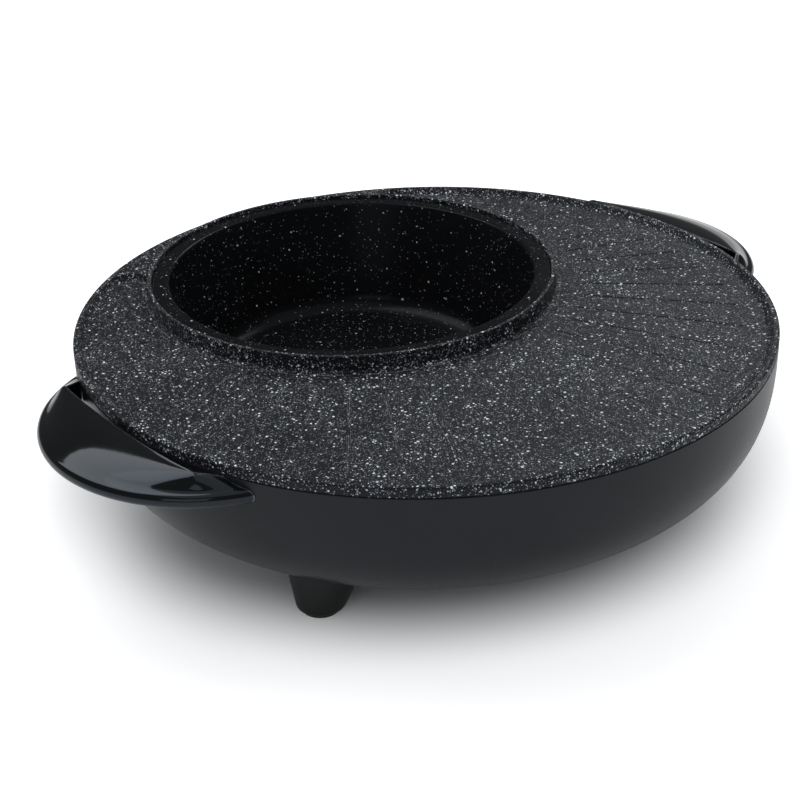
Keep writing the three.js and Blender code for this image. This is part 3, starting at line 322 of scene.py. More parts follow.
def reshaped(piece, tool, operation):
    """Cuts a piece with a tool, or joins the two, and takes the tool away."""
    step = piece.modifiers.new("step", "BOOLEAN")
    step.operation = operation
    step.solver = "MANIFOLD"
    step.object = tool
    shaped = bpy.data.meshes.new_from_object(piece.evaluated_get(bpy.context.evaluated_depsgraph_get()))
    piece.modifiers.clear()
    spent = piece.data
    piece.data = shaped
    bpy.data.meshes.remove(spent)
    bpy.data.objects.remove(tool)
    return piece


def cut(piece, *tools):
    for tool in tools:
        reshaped(piece, tool, "DIFFERENCE")
    return piece


def join(piece, *parts):
    for part in parts:
        reshaped(piece, part, "UNION")
    return piece


def moved(piece, matrix):
    piece.data.transform(matrix)
    return piece


def shift(x=0, y=0, z=0):
    return Matrix.Translation((x, y, z))


def rod(name, start, direction, length, radius, sides=24, ease=0):
    """A round bar from a point along a direction, its two ends eased."""
    outline = eased([(0, 0), (radius, 0, ease), (radius, length, ease), (0, length)], 3)
    turn = Vector(direction).to_track_quat("Z", "Y").to_matrix().to_4x4()
    return moved(turned(name, outline, sides), Matrix.Translation(start) @ turn)


def rounded_outline(width, height, corner, steps=6):
    points = []
    for k, (across, up) in enumerate(((1, 1), (-1, 1), (-1, -1), (1, -1))):
        middle = across * (width / 2 - corner), up * (height / 2 - corner)
        points += [circle(middle, corner, math.pi / 2 * (k + i / steps)) for i in range(steps + 1)]
    return points


def slab(name, width, height, corner, back, front, ease_back=0, ease_front=0, at=Matrix()):
    """A flat body with a rounded outline, standing square to X, its two edges eased."""
    quarter = [math.pi / 2 * i / 5 for i in range(6)]
    stations = []
    for a in quarter if ease_back else [0]:
        stations.append((back + ease_back * (1 - math.cos(a)), ease_back * (1 - math.sin(a))))
    for a in quarter if ease_front else [0]:
        stations.append((front - ease_front * (1 - math.sin(a)), ease_front * (1 - math.cos(a))))
    rings = [
        [(x, u, v) for u, v in rounded_outline(width - 2 * inset, height - 2 * inset, corner - inset)]
        for x, inset in stations
    ]
    return moved(lofted(name, rings), at)


screw_nodes = sorted(n for n in frame["nodes"] if "screw" in n)
head_height = 0.002
hole_radius = 0.0018


def screw_line(node):
    """The seat under the head, the direction and the length of a packed screw.

    Its axis is the one along which it is slim at the tip and wide at the head.
    """
    co = np.unique(np.round([v.co for v in frame["nodes"][node].data.vertices], 7), axis=0)
    middle = co.mean(0)
    for axis in np.linalg.svd(co - middle, full_matrices=False)[2]:
        along = (co - middle) @ axis
        wide = np.linalg.norm(co - middle - np.outer(along, axis), axis=1)
        ends = wide[along < along.min() + 0.0021].max(), wide[along > along.max() - 0.0005].max()
        if min(ends) < 0.0018 and max(ends) > 0.0032:
            break
    direction = axis if ends[0] > ends[1] else -axis
    along = (co - middle) @ direction
    start = middle + direction * (along.min() + head_height)
    return Vector(start), Vector(direction), float(along.max() - along.min() - head_height)


def screw_hole(node, before=past, beyond=past):
    """A bore along a packed screw, from before its seat to beyond its tip."""
    seat, direction, length = screw_line(node)
    return rod("hole", seat - direction * before, direction, length + before + beyond, hole_radius)


def bowl_space(gap):
    """What the bowl fills, from above the plate down to its underside."""
    high = 0.118
    curve = [tuple(p) for p in bowl_outline(-gap, 96) if p[0] > bowl_flat]
    return turned("space", [(0, high), (curve[0][0], high), *curve, (0, curve[-1][1])], bowl_turns)


bowl_outer = bowl_outline(0)
bowl_inner = bowl_outline(bowl_wall)
cover_recess = cover_radius + fit
cover_ceiling = read_down(bowl_outer, 0, cover_radius) + cover_thickness + fit
cover_bore = cover_radius - cover_seat_width
ring_top = cover_ceiling + 0.0036
ring_outer = cover_radius + 0.004
outer_wall = [tuple(p) for p in bowl_outer if p[0] > cover_recess + 0.0008][1:]
inner_wall = [tuple(p) for p in bowl_inner if p[0] > ring_outer + 0.001 and p[1] < pan_ledge_root - 0.001]
bowl = turned("bowl_moulding", eased([
    (bowl_radius, bowl_top, 0.0006),
    *outer_wall,
    (cover_recess, read_down(bowl_outer, 0, cover_recess), 0.0003),
    (cover_recess, cover_ceiling),
    (cover_bore, cover_ceiling, 0.0004),
    (cover_bore, ring_top, 0.0006),
    (ring_outer, ring_top, 0.0006),
    (ring_outer, read_down(bowl_inner, 0, ring_outer), 0.001),
    *inner_wall[::-1],
    (read_down(bowl_inner, 1, pan_ledge_root), pan_ledge_root, 0.001),
    (pan_ledge_bore, pan_ledge_foot, 0.0008),
    (pan_ledge_bore, pan_ledge_top, 0.0006),
    (rim_bore, pan_ledge_top),
    (rim_bore, bowl_top, 0.0006),
], 4), bowl_turns)

boss_radius, boss_length = 0.006, 0.018
inlet_seat, inlet_height = 0.1845, 0.06
inlet_wide, inlet_tall, inlet_corner = 0.036, 0.0234, 0.0022
inlet_body_wide, inlet_body_tall = 0.030, 0.019
block_x, block_y = 0.128, -0.044
block_half_long, block_half_wide = 0.020, 0.010
block_reach = math.hypot(block_x + block_half_long, abs(block_y) + block_half_wide)
block_floor = read_down(bowl_inner, 0, block_reach) + 0.0012
swells = []
for node in screw_nodes:
    if not node.startswith("cover"):
        seat, direction, length = screw_line(node)
        swells.append(rod("boss", seat + direction * fit, direction, boss_length, boss_radius, 40))
swells.append(slab(
    "inlet_box", inlet_wide + 0.006, inlet_tall + 0.006, 0.003, inlet_seat - 0.003, bowl_radius,
    at=shift(z=inlet_height),
))
swells.append(slab(
    "block_pad", 2 * block_half_wide, block_floor - bowl_bottom, 0.001, block_x - block_half_long,
    block_x + block_half_long, at=shift(0, block_y, (block_floor + bowl_bottom) / 2),
))
for swell in swells:
    join(bowl, reshaped(swell, bowl_space(0), "INTERSECT"))

controls_turn = Matrix.Rotation(math.radians(45), 4, "Z")
controls_height = 0.068
window_wide, window_tall, window_corner = 0.0932, 0.035, 0.0064
panel_root, panel_face = 0.103, 0.206
at_panel = controls_turn @ shift(z=controls_height)
at_inlet = shift(z=inlet_height)
cut(
    bowl,
    slab("window", window_wide, window_tall, window_corner, panel_root, panel_face, at=at_panel),
    slab("pocket", inlet_wide + 2 * fit, inlet_tall + 2 * fit, inlet_corner, inlet_seat, 0.3, at=at_inlet),
    slab(
        "port", inlet_body_wide + 2 * fit, inlet_body_tall + 2 * fit, inlet_corner, inlet_seat - past,
        inlet_seat + past, at=at_inlet,
    ),
    *[screw_hole(node) for node in screw_nodes],
)


def effect(name, outputs, **inputs):
    """A node group with named values going in and coming out."""
    group = bpy.data.node_groups.new(name, "ShaderNodeTree")
    for label, default in inputs.items():
        socket = group.interface.new_socket(label, in_out="INPUT", socket_type="NodeSocketFloat")
        socket.default_value = default
    for label in outputs:
        group.interface.new_socket(label, in_out="OUTPUT", socket_type="NodeSocketFloat")
    return group, group.nodes.new("NodeGroupInput").outputs, group.nodes.new("NodeGroupOutput").inputs


def use(tree, group, **values):
    return place(tree, "Group", values, node_tree=group).outputs


def noise_at(tree, size, detail=2.0, stretch=None):
    """Noise over the piece itself, with features of about the size given in metres."""
    where = place(tree, "TexCoord").outputs["Object"]
    if stretch is not None:
        where = place(tree, "Mapping", {"Vector": where, "Scale": stretch}).outputs["Vector"]
    scale = sums(tree, "DIVIDE", 1.0, size) if isinstance(size, bpy.types.NodeSocket) else 1 / size
    feeds = {"Vector": where, "Scale": scale, "Detail": detail, "Roughness": 0.55}
    return place(tree, "TexNoise", feeds).outputs["Fac"]


# Fine texture that a mould leaves in plastic, with slow changes of tone over the part
mould_grain, given, result = effect("mould_grain", ("Height", "Tone"), Grain=0.0006, Patch=0.05)
feed(mould_grain, result["Height"], noise_at(mould_grain, given["Grain"], 3.0))
patches = noise_at(mould_grain, given["Patch"], 2.0)
feed(mould_grain, result["Tone"], spread(mould_grain, patches, 0.2, 0.8, curve="SMOOTHSTEP"))

# Edges where the surface turns within a small reach, broken up a little: a mask for painted highlights on
# plastic and on the stone coating, and for wear on metal edges
edge_highlight_and_wear, given, result = effect("edge_highlight_and_wear", ("Mask",), Reach=0.001, Break=0.004)
inside = edge_highlight_and_wear
rounded = place(inside, "Bevel", {"Radius": given["Reach"]}, samples=4).outputs["Normal"]
faced = place(inside, "NewGeometry").outputs["Normal"]
level = vectors(inside, "DOT_PRODUCT", {0: rounded, 1: faced})["Value"]
broken = spread(inside, noise_at(inside, given["Break"], 3.0), 0.3, 0.6)
feed(inside, result["Mask"], sums(inside, "MULTIPLY", spread(inside, level, 0.995, 0.85), broken))

# Corners and grooves, found by how sheltered they are, broken up a little: a mask for fine dust on plastic,
# and for painted shade on the stone coating and on metal
corner_dust_and_shade, given, result = effect("corner_dust_and_shade", ("Mask",), Reach=0.004, Break=0.003)
inside = corner_dust_and_shade
shelter = place(inside, "AmbientOcclusion", {"Distance": given["Reach"]}, samples=4).outputs["AO"]
flecks = spread(inside, noise_at(inside, given["Break"], 4.0), 0.4, 0.7)
feed(inside, result["Mask"], sums(inside, "MULTIPLY", spread(inside, shelter, 0.75, 0.2), flecks))


def finish(name, values):
    """A new material, and the values that its shader has all over."""
    made = bpy.data.materials.new(name)
    made.use_nodes = True
    skin = made.node_tree.nodes["Principled BSDF"]
    for label, value in values.items():
        feed(made.node_tree, skin.inputs[label], value)
    return made, made.node_tree, skin


def laid_on(tree, skin, colour, rough, height, depth, distance=0.001):
    """The colour, the roughness and the fine relief of a finish."""
    relief = place(tree, "Bump", {"Height": height, "Strength": depth, "Distance": distance})
    feed(tree, skin.inputs["Base Color"], colour)
    feed(tree, skin.inputs["Roughness"], rough)
    feed(tree, skin.inputs["Normal"], relief.outputs["Normal"])


def tinged(colour, share, more=0.0):
    return [c * share + more for c in colour]


def plastic(name, colour, rough, grain, depth, gloss=0.5, edge=1.6, dust=0.10, reach=0.0008, tint=(1, 1, 1)):
    """Moulded plastic: grain, patches of tone, painted highlights along the edges, dust in the corners."""
    made, tree, skin = finish(name, {"Specular IOR Level": gloss, "Specular Tint": tint})
    moulded = use(tree, mould_grain, Grain=grain)
    tone = blended(tree, moulded["Tone"], tinged(colour, 0.9), tinged(colour, 1.12))
    # Edges take the plastic's colour times edge, plus a little: a painted highlight
    edges = sums(tree, "MULTIPLY", use(tree, edge_highlight_and_wear, Reach=reach)["Mask"], 0.6)
    painted_highlit = blended(tree, edges, tone, tinged(colour, edge, 0.002))
    corners = sums(tree, "MULTIPLY", use(tree, corner_dust_and_shade)["Mask"], dust)
    dusty = blended(tree, corners, painted_highlit, (0.16, 0.155, 0.15))
    roughness = spread(tree, moulded["Tone"], 0, 1, rough - 0.03, rough + 0.04)
    laid_on(tree, skin, dusty, roughness, moulded["Height"], depth)
    return made


def dress(piece, surface, body, slot, *nodes, angle=32):
    """Shades a piece smooth between its real edges, and gives it its finish and its place in the frame."""
    if angle:
        piece.data.polygons.foreach_set("use_smooth", [True] * len(piece.data.polygons))
        piece.data.set_sharp_from_angle(angle=math.radians(angle))
        piece.modifiers.new("evened", "WEIGHTED_NORMAL").keep_sharp = True
    piece.data.materials.clear()
    piece.data.materials.append(surface)
    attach(piece, body)
    if nodes:
        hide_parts(*nodes)


bowl_finish = plastic("satin_black_plastic", bowl_colour, 0.27, 0.0005, 0.05, gloss=0.25)
dress(bowl, bowl_finish, "base", "bowl", "bowl_housing")


# Grill plate
# A round die-cast aluminium plate with a thin raised rim, a sunken crescent floor scored with
# a fan of shallow grooves, and a collar with a ledge that the pot hangs in. It is sprayed with
# dark stone-look coating, full of white flakes, and lifts off the bowl.

plate_radius = 0.2
plate_under = bowl_top + fit
plate_top = plate_under + 0.0059
floor_top = plate_top - 0.004
floor_under = floor_top - 0.004
skirt_bottom = plate_under - 0.0071
skirt_radius = rim_bore - 0.0006
skirt_bore = skirt_radius - 0.0038
pot_y = 0.0675
pot_centre = (0, pot_y)
collar_radius = 0.122
collar_bore = collar_radius - 0.0024
collar_foot = collar_radius + 0.0032
collar_top = plate_top + 0.0059
ledge_top = collar_top - 0.0043
ledge_under = ledge_top - 0.0034
ledge_bore = collar_bore - 0.007
rim_inner = plate_radius - 0.003
recess_end = 0.0135
weld = 0.0007
stone_colour = (0.0052, 0.0058, 0.0080)

plate = turned("plate_casting", eased([
    (0, floor_under),
    (skirt_bore, floor_under, 0.0015),
    (skirt_bore, skirt_bottom, 0.0008),
    (skirt_radius, skirt_bottom, 0.0008),
    (skirt_radius, plate_under, 0.0004),
    (plate_radius, plate_under, 0.0007),
    (plate_radius, plate_top, 0.0013),
    (0, plate_top),
]), 256)


def arc(centre, radius, start, end, steps):
    return [circle(centre, radius, start + (end - start) * k / steps) for k in range(steps + 1)]


cut_collar = collar_bore + weld
end_rim = rim_inner - recess_end
end_collar = cut_collar + recess_end
end_y = (end_rim**2 - end_collar**2 + pot_y**2) / (2 * pot_y)
end_x = math.sqrt(end_rim**2 - end_y**2)
rim_turn = math.atan2(end_y, end_x)
collar_turn = math.atan2(end_y - pot_y, end_x)
recess_wall = eased([
    (0.02, floor_top),
    (0.003, floor_top, 0.0035),
    (0.0, plate_top, 0.0016),
    (-0.004, plate_top + 0.0012),
    (-0.004, plate_top + 0.006),
    (0.02, plate_top + 0.006),
], 7)[1:-1]
recess_rings = []
for inset, height in recess_wall:
    outline = (
        arc((0, 0), rim_inner - inset, math.pi - rim_turn, 2 * math.pi + rim_turn, 200)
        + arc((end_x, end_y), recess_end - inset, rim_turn, math.pi + collar_turn, 20)
        + arc(pot_centre, cut_collar, collar_turn, -math.pi - collar_turn, 160)
        + arc((-end_x, end_y), recess_end - inset, -collar_turn, math.pi - rim_turn, 20)
    )
    recess_rings.append([(x, y, height) for x, y in outline])
cut(plate, lofted("recess", recess_rings))
hole_low, hole_high = 0.09, 0.13
hole_outline = [(0, hole_low), (collar_bore, hole_low), (collar_bore, hole_high), (0, hole_high)]
cut(plate, turned("pot_hole", hole_outline, 192, pot_centre))
join(plate, turned("collar", eased([
    (collar_bore - weld, floor_under),
    (collar_foot, floor_under),
    (collar_foot, floor_top + 0.0003, 0.0002),
    (collar_radius, floor_top + 0.0003, 0.0022),
    (collar_radius, collar_top, 0.0009),
    (collar_bore, collar_top, 0.0009),
    (collar_bore, ledge_top, 0.0003),
    (ledge_bore, ledge_top, 0.0006),
    (ledge_bore, ledge_under, 0.0006),
    (collar_bore - weld, ledge_under, 0.0004),
], 6), 192, pot_centre))

score_pitch = math.radians(7.06)
score_start = 0.136
score_reach = plate_radius - 0.016
score_depth = 0.00055
score_fade = 0.005
score_sides = [(0.0052, 0.005), (0.0015, 0.00028), (0.0009, 0), (0.0001, -score_depth)]
score_section = [(-u, v) for u, v in score_sides] + score_sides[::-1]
scores = []
for k in range(-14, 14):
    angle = (k + 0.5) * score_pitch
    along = np.array((math.sin(angle), -math.cos(angle)))
    across = np.array((-along[1], along[0]))
    inward = pot_y * along[1]
    end = -inward + math.sqrt(inward**2 - pot_y**2 + score_reach**2)
    stations = [
        (score_start, 0.0012), (score_start + score_fade * 0.5, 0.0003), (score_start + score_fade, 0),
        (end - score_fade, 0), (end - score_fade * 0.5, 0.0003), (end, 0.0012),
    ]
    scores.append([
        [(*(pot_centre + along * reach + across * u), floor_top + v + lift) for u, v in score_section]
        for reach, lift in stations
    ])
cut(plate, lofted("scores", *scores))

# Flakes of a coating: a share of the cells in a fine honeycomb holds one flake of its own size
coat_flakes, given, result = effect(
    "coat_flakes", ("Mask", "Tone"), Spacing=0.0016, Share=0.4, Smallest=0.1, Largest=0.35
)
inside = coat_flakes
where = place(inside, "TexCoord").outputs["Object"]
bend_scale = sums(inside, "DIVIDE", 1.3, given["Spacing"])
bend = place(inside, "TexNoise", {"Vector": where, "Scale": bend_scale, "Detail": 1.0}).outputs["Color"]
bend = vectors(inside, "SUBTRACT", {0: bend, 1: (0.5, 0.5, 0.5)})["Vector"]
bend_reach = sums(inside, "MULTIPLY", given["Spacing"], 0.35)
bend = vectors(inside, "SCALE", {"Vector": bend, "Scale": bend_reach})["Vector"]
shifted = vectors(inside, "ADD", {0: where, 1: bend})["Vector"]
cell_scale = sums(inside, "DIVIDE", 1.0, given["Spacing"])
cells = place(inside, "TexVoronoi", {"Vector": shifted, "Scale": cell_scale}, feature="F1").outputs
draws = place(inside, "SeparateColor", {"Color": cells["Color"]}).outputs
holds = sums(inside, "LESS_THAN", draws["Red"], given["Share"])
size_draw = sums(inside, "POWER", draws["Green"], 2.0)
size_span = sums(inside, "SUBTRACT", given["Largest"], given["Smallest"])
flake_size = sums(inside, "ADD", sums(inside, "MULTIPLY", size_draw, size_span), given["Smallest"])
flake = spread(inside, sums(inside, "SUBTRACT", flake_size, cells["Distance"]), 0.0, 0.03)
feed(inside, result["Mask"], sums(inside, "MULTIPLY", flake, holds))
feed(inside, result["Tone"], draws["Blue"])


def stone_coating(name, base, rough, gloss, amount, whitest, depth):
    """Sprayed non-stick stone coating with a fine and a coarse sort of flakes, a painted highlight along its
    edges and painted shade in its corners.
    """
    made, tree, skin = finish(name, {"Specular IOR Level": gloss, "Specular Tint": (0.86, 0.93, 1)})
    grain = use(tree, mould_grain, Grain=0.0009, Patch=0.03)
    ground = blended(tree, grain["Tone"], tinged(base, 0.88), tinged(base, 1.12))
    thinner = spread(tree, noise_at(tree, 0.06, 2.0), 0.3, 0.65, 0.7, 1.15)
    fine_share, coarse_share = (sums(tree, "MULTIPLY", thinner, share * amount) for share in (0.72, 0.36))
    fine = use(tree, coat_flakes, Spacing=0.00088, Share=fine_share, Smallest=0.28, Largest=0.60)
    coarse = use(tree, coat_flakes, Spacing=0.0019, Share=coarse_share, Smallest=0.16, Largest=0.41)
    white = tinged((0.91, 0.96, 1.05), whitest)
    fine_draw = sums(tree, "POWER", fine["Tone"], 1.9)
    fine_tone = blended(tree, fine_draw, tinged(white, 0.03), tinged(white, 0.62))
    coarse_tone = blended(tree, coarse["Tone"], tinged(white, 0.6), white)
    flecked = blended(tree, fine["Mask"], ground, fine_tone)
    flecked = blended(tree, coarse["Mask"], flecked, coarse_tone)
    # Edges are lightened towards a pale grey: a painted highlight
    edges = spread(tree, use(tree, edge_highlight_and_wear, Reach=0.0009, Break=0.012)["Mask"], 0.4, 0.75)
    flecked = blended(tree, sums(tree, "MULTIPLY", edges, 0.7), flecked, (0.27, 0.275, 0.27))
    # Sheltered corners and grooves are darkened towards a third of the ground's colour: painted shade
    corners = sums(tree, "MULTIPLY", use(tree, corner_dust_and_shade, Reach=0.003)["Mask"], 0.15)
    colour = blended(tree, corners, flecked, tinged(base, 0.35))
    roughness = spread(tree, grain["Tone"], 0, 1, rough - 0.05, rough + 0.06)
    lumps = sums(tree, "ADD", sums(tree, "MULTIPLY", fine["Mask"], 0.25), grain["Height"])
    laid_on(tree, skin, colour, roughness, lumps, depth)
    return made


plate_finish = stone_coating("stone_coating", stone_colour, 0.5, 0.29, 1.0, 0.95, 0.16)
dress(plate, plate_finish, "plate", "stone_coat", "grill_plate", angle=30)


# Hot pot
# A deep round pan pressed from aluminium, with a curved corner, a flat flange that hangs on the
# collar's ledge, and a smooth black non-stick coat. It lifts out of the plate.

pot_rim = ledge_top + fit
pot_under = pot_rim - 0.068
pot_wall = 0.0024
pot_corner = 0.016
flange_radius = collar_bore - 0.0005
flange_top = pot_rim + 0.002
pot_throat = ledge_bore - 0.0005
tube_radius = 0.0033
sheet = 0.0012
pot_tube_height = pot_under - fit - tube_radius
well_floor = pot_tube_height - tube_radius - fit
well_under = well_floor - sheet
well_foot = read_down(bowl_inner, 1, well_under) - pot_y - 0.0036
pot_base = well_foot - sheet - 0.005
pot = turned("pot_pan", eased([
    (0, pot_under),
    (pot_base, pot_under, pot_corner),
    (pot_throat, pot_rim, 0.0006),
    (flange_radius, pot_rim, 0.0005),
    (flange_radius, flange_top, 0.0006),
    (pot_throat - pot_wall, flange_top, 0.0022),
    (pot_base - pot_wall, pot_under + pot_wall, pot_corner - pot_wall),
    (0, pot_under + pot_wall),
], 10), 192, pot_centre)
pot_finish = stone_coating("pot_coating", (0.0050, 0.0053, 0.0060), 0.22, 0.10, 0.12, 0.6, 0.04)
dress(pot, pot_finish, "pot", "pot_coat", "hot_pot")


# Wing handles
# Two glossy black phenolic mouldings on opposite sides: a ridge beside the plate, a crowned top
# that droops to a round outer edge, and a hollow underside. Two lugs at the back of each seat
# on the bowl wall and take its screws from inside.

handle_reach = 0.240
handle_arc = 0.092
handle_turn = math.radians(74)
ridge_x = plate_radius + 0.0029
ridge_half = 0.0612
ridge_bow = 0.003
ridge_top = plate_top - 0.003
ridge_share = 0.7
handle_edge = plate_top - 0.0145
edge_round = 0.004
handle_skin = 0.0036
handle_crown = 0.0019
handle_lip = 0.003
ridge_bead = 0.0007
bead_drop = ridge_bead * 0.42
lip_depth = 0.012
ridge_ease = 0.0009
tip_back, tip_along, tip_drop = 0.024, 0.014, 0.007
fill_from, fill_over = 0.38, 0.18
edge_start, edge_sweep = 84, 174
handle_stations = 120


def wing_ring(along):
    """The handle's section at a place from -1 to 1 along it, read from the ridge outwards and back."""
    side = math.copysign(1, along) if along else 1
    beyond = max(abs(along) - ridge_share, 0) / (1 - ridge_share)
    run_share = min(abs(along) / ridge_share, 1)
    edge = np.array(circle((handle_reach - handle_arc, 0), handle_arc - edge_round, handle_turn * along))
    ridge = np.array((
        ridge_x - ridge_bow * run_share**2 - beyond * tip_back,
        side * (ridge_half * run_share + beyond * tip_along),
    ))
    top = ridge_top - beyond * tip_drop
    span = edge - ridge
    run = float(np.linalg.norm(span))
    span /= run
    t = min(max((abs(along) - fill_from) / fill_over, 0), 1)
    filled = t * t * (3 - 2 * t)
    shoulder = handle_edge + edge_round
    low = handle_edge - edge_round
    lip = min(handle_lip, run * 0.4)

    def top_at(share):
        return top + (shoulder - top) * share + handle_crown * (1 - 2 * beyond) * 4 * share * (1 - share)

    def under(height):
        return height + (low - height) * filled

    ease = min(ridge_ease, run * 0.05)
    section = [
        (ease * (1 - math.cos(a)), top - ease + ease * math.sin(a))
        for a in (math.pi / 2 * i / 4 for i in range(5))
    ]
    section.append((ease + ridge_bead, top - bead_drop))
    section += [
        (ease + (run - ease) * share, top_at(share) - bead_drop * (1 - share))
        for share in (i / 16 for i in range(1, 16))
    ]
    section += [
        circle((run, handle_edge), edge_round, math.radians(edge_start - edge_sweep * i / 14))
        for i in range(15)
    ]
    section += [
        (lip + (run - lip) * share, under(top_at(share) - handle_skin))
        for share in (i / 9 for i in range(8, 0, -1))
    ]
    lip_foot = under(top - lip_depth)
    section += [(lip, under(top_at(0) - handle_skin)), (lip, lip_foot), (0, lip_foot)]
    return [(ridge[0] + span[0] * out, ridge[1] + span[1] * out, height) for out, height in section]


lug_top = bowl_top - 0.0098
lug_bottom = lug_top - 0.016
lug_outer = ridge_x + 0.0038
lug_chamfer = 0.0054
lug_seat = ridge_top - lip_depth + handle_lip
lug_spacing, lug_half = 0.022, 0.008
lug_outline = eased([
    (rim_bore - past, lug_bottom),
    (lug_outer - lug_chamfer, lug_bottom, 0.002),
    (lug_outer, lug_bottom + lug_chamfer, 0.002),
    (lug_outer, lug_seat),
    (ridge_x, lug_seat),
    (ridge_x, lug_top),
    (rim_bore - past, lug_top),
], 4)
# The high edge share paints a pale highlight line along the handles' rounded edges and ridge
handle_finish = plastic(
    "gloss_black_phenolic", (0.0045, 0.0050, 0.0056), 0.06, 0.004, 0.012,
    edge=50.0, dust=0.05, reach=0.0014, tint=(0.75, 0.87, 1),
)
wing_rings = [wing_ring(2 * k / handle_stations - 1) for k in range(handle_stations + 1)]
for name, turn in (("right", 0), ("left", math.pi)):
    wing = lofted("handle_wing_" + name, wing_rings)
    for y in (-lug_spacing, lug_spacing):
        join(wing, prism("lug", lug_outline, 1, y - lug_half, y + lug_half))
    cut(wing, bowl_space(fit))
    moved(wing, Matrix.Rotation(turn, 4, "Z"))
    cut(wing, *[screw_hole("handle_%s_screw_%s" % (name, end), 0, 0.0005) for end in "ab"])
    dress(wing, handle_finish, "base", "gloss_black", "handle_" + name, angle=40)


# Feet
# Four short cups of the same plastic, splayed and tapered, seated on the bowl's curve and held
# by one screw each from inside. A grey-black rubber disc is pressed into each.

foot_x, foot_y = 0.133, 0.0678
foot_bottom, foot_top = 0.0134, 0.025
foot_proud = 0.0022
foot_height = 0.034 - foot_proud
foot_splay = 0.012
pad_radius, pad_thickness = 0.0105, 0.003
dish_radius, dish_depth = 0.006, 0.0003
foot_finish = plastic("foot_plastic", (0.0085, 0.0088, 0.0096), 0.4, 0.0005, 0.06, gloss=0.45)
rubber_finish = plastic(
    "pad_rubber", (0.012, 0.012, 0.0125), 0.75, 0.0003, 0.25, gloss=0.25, edge=1.3, dust=0.3
)
cup_outline = eased([
    (0, 0), (foot_bottom - 0.0003, 0, 0.003), (foot_top, foot_height), (0, foot_height),
], 6)
seat_radius, seat_top = pad_radius + fit, pad_thickness + fit
seat_outline = [(0, -past), (seat_radius, -past), (seat_radius, seat_top), (0, seat_top)]
pad_outline = eased([
    (0, dish_depth), (dish_radius, dish_depth, 0.0002), (dish_radius + 0.0004, 0, 0.0002),
    (pad_radius, 0, 0.0006), (pad_radius, pad_thickness, 0.0003), (0, pad_thickness),
], 4)
for corner in ("front_left", "front_right", "back_right", "back_left"):
    centre = Vector((foot_x if "right" in corner else -foot_x, foot_y if "back" in corner else -foot_y))
    inward = -centre.normalized()
    drift = foot_splay / foot_height
    lean = Matrix.Identity(4)
    lean[0][2], lean[1][2] = inward.x * drift, inward.y * drift
    cup = moved(turned("foot_cup_" + corner, cup_outline, 64), shift(*centre, foot_proud) @ lean)
    cut(cup, bowl_space(fit), turned("seat", seat_outline, 64, centre), screw_hole("foot_screw_" + corner))
    dress(cup, foot_finish, "base", "foot", "foot_" + corner)
    pad = turned("foot_rubber_" + corner, pad_outline, 64, centre)
    dress(pad, rubber_finish, "base", "pad", "foot_pad_" + corner)


# Control panel
# A hollow pad of the bowl's satin black plastic on the hidden side, cut to the bowl's curve and
# held by two screws from inside, with a glossy dial plate stuck on its face. The plate carries
# a printed scale round each dial and a small lamp for each zone.

panel_wide, panel_tall, panel_corner, panel_wall = 0.124, 0.044, 0.009, 0.0026
panel_inside = panel_face - panel_wall
fascia_wide, fascia_tall = 0.116, 0.036
fascia_back = panel_face + fit
fascia_front = fascia_back + 0.0016
dial_y = 0.030008
zones = (("grill", -dial_y), ("pot", dial_y))
lamp_rise = 0.007
lamp_radius = 0.003
axle_radius = 0.003
post_y = panel_wide / 2 - 0.0064
post_radius = 0.0041
outward = Matrix(((0, 0, 1, 0), (1, 0, 0, 0), (0, 1, 0, 0), (0, 0, 0, 1)))
upward = outward.inverted()


def across_x(name, y, z, back, front, radius, sides=40):
    """A round cutter or post that runs along the panel's own X."""
    return moved(rod(name, (back, y, z), (1, 0, 0), front - back, radius, sides), at_panel)


def panel_bores():
    back, front = panel_inside - past, fascia_front + past
    for y in (-dial_y, dial_y):
        yield across_x("axle_bore", y, 0, back, front, axle_radius + 0.0005)
    for z in (-lamp_rise, lamp_rise):
        yield across_x("lamp_bore", 0, z, back, front, lamp_radius + fit)


panel = slab(
    "control_pad", panel_wide, panel_tall, panel_corner, panel_root, panel_face,
    ease_front=0.0018, at=at_panel,
)
cut(panel, slab(
    "hollow", panel_wide - 2 * panel_wall, panel_tall - 2 * panel_wall, panel_corner - panel_wall,
    panel_root - past, panel_inside, ease_front=0.001, at=at_panel,
))
for y in (-post_y, post_y):
    join(panel, across_x("post", y, 0, panel_root, panel_inside + 0.001, post_radius))
    cut(panel, across_x("pilot", y, 0, panel_root - past, panel_inside - fit, hole_radius, 24))
cut(panel, bowl_space(fit), *panel_bores())
panel_finish = plastic("panel_plastic", bowl_colour, 0.34, 0.0005, 0.05, gloss=0.3)
dress(panel, panel_finish, "base", "bowl", "control_housing")

dial_plate = slab(
    "dial_plate", fascia_wide, fascia_tall, 0.005, fascia_back, fascia_front, ease_front=0.0005, at=at_panel
)
cut(dial_plate, *panel_bores())
dial_plate_finish = plastic(
    "dial_plate_gloss", (0.006, 0.0063, 0.007), 0.09, 0.003, 0.01, edge=3.0, dust=0.05
)
dress(dial_plate, dial_plate_finish, "base", "gloss_black", "control_fascia")

print_rise = 0.00006
mark_count, mark_turn = 11, 25
mark_from, mark_to, mark_half = 0.01725, 0.0192, 0.00022
mark_short, mark_more = 0.0176, 0.0006
lamp_ring, lamp_ring_half, lamp_ring_steps = 0.0046, 0.00016, 24
number_size = 0.0042
strips = []


def printed_strip(start, end, half):
    """A thin raised strip of ink between two places (y, z) on the dial plate."""
    a, b = np.array(start), np.array(end)
    side = np.array((-(b - a)[1], (b - a)[0])) / np.linalg.norm(b - a) * half
    corners = (a - side, b - side, b + side, a + side)
    strips.append([[(fascia_front + x, *corner) for corner in corners] for x in (-print_rise, print_rise)])


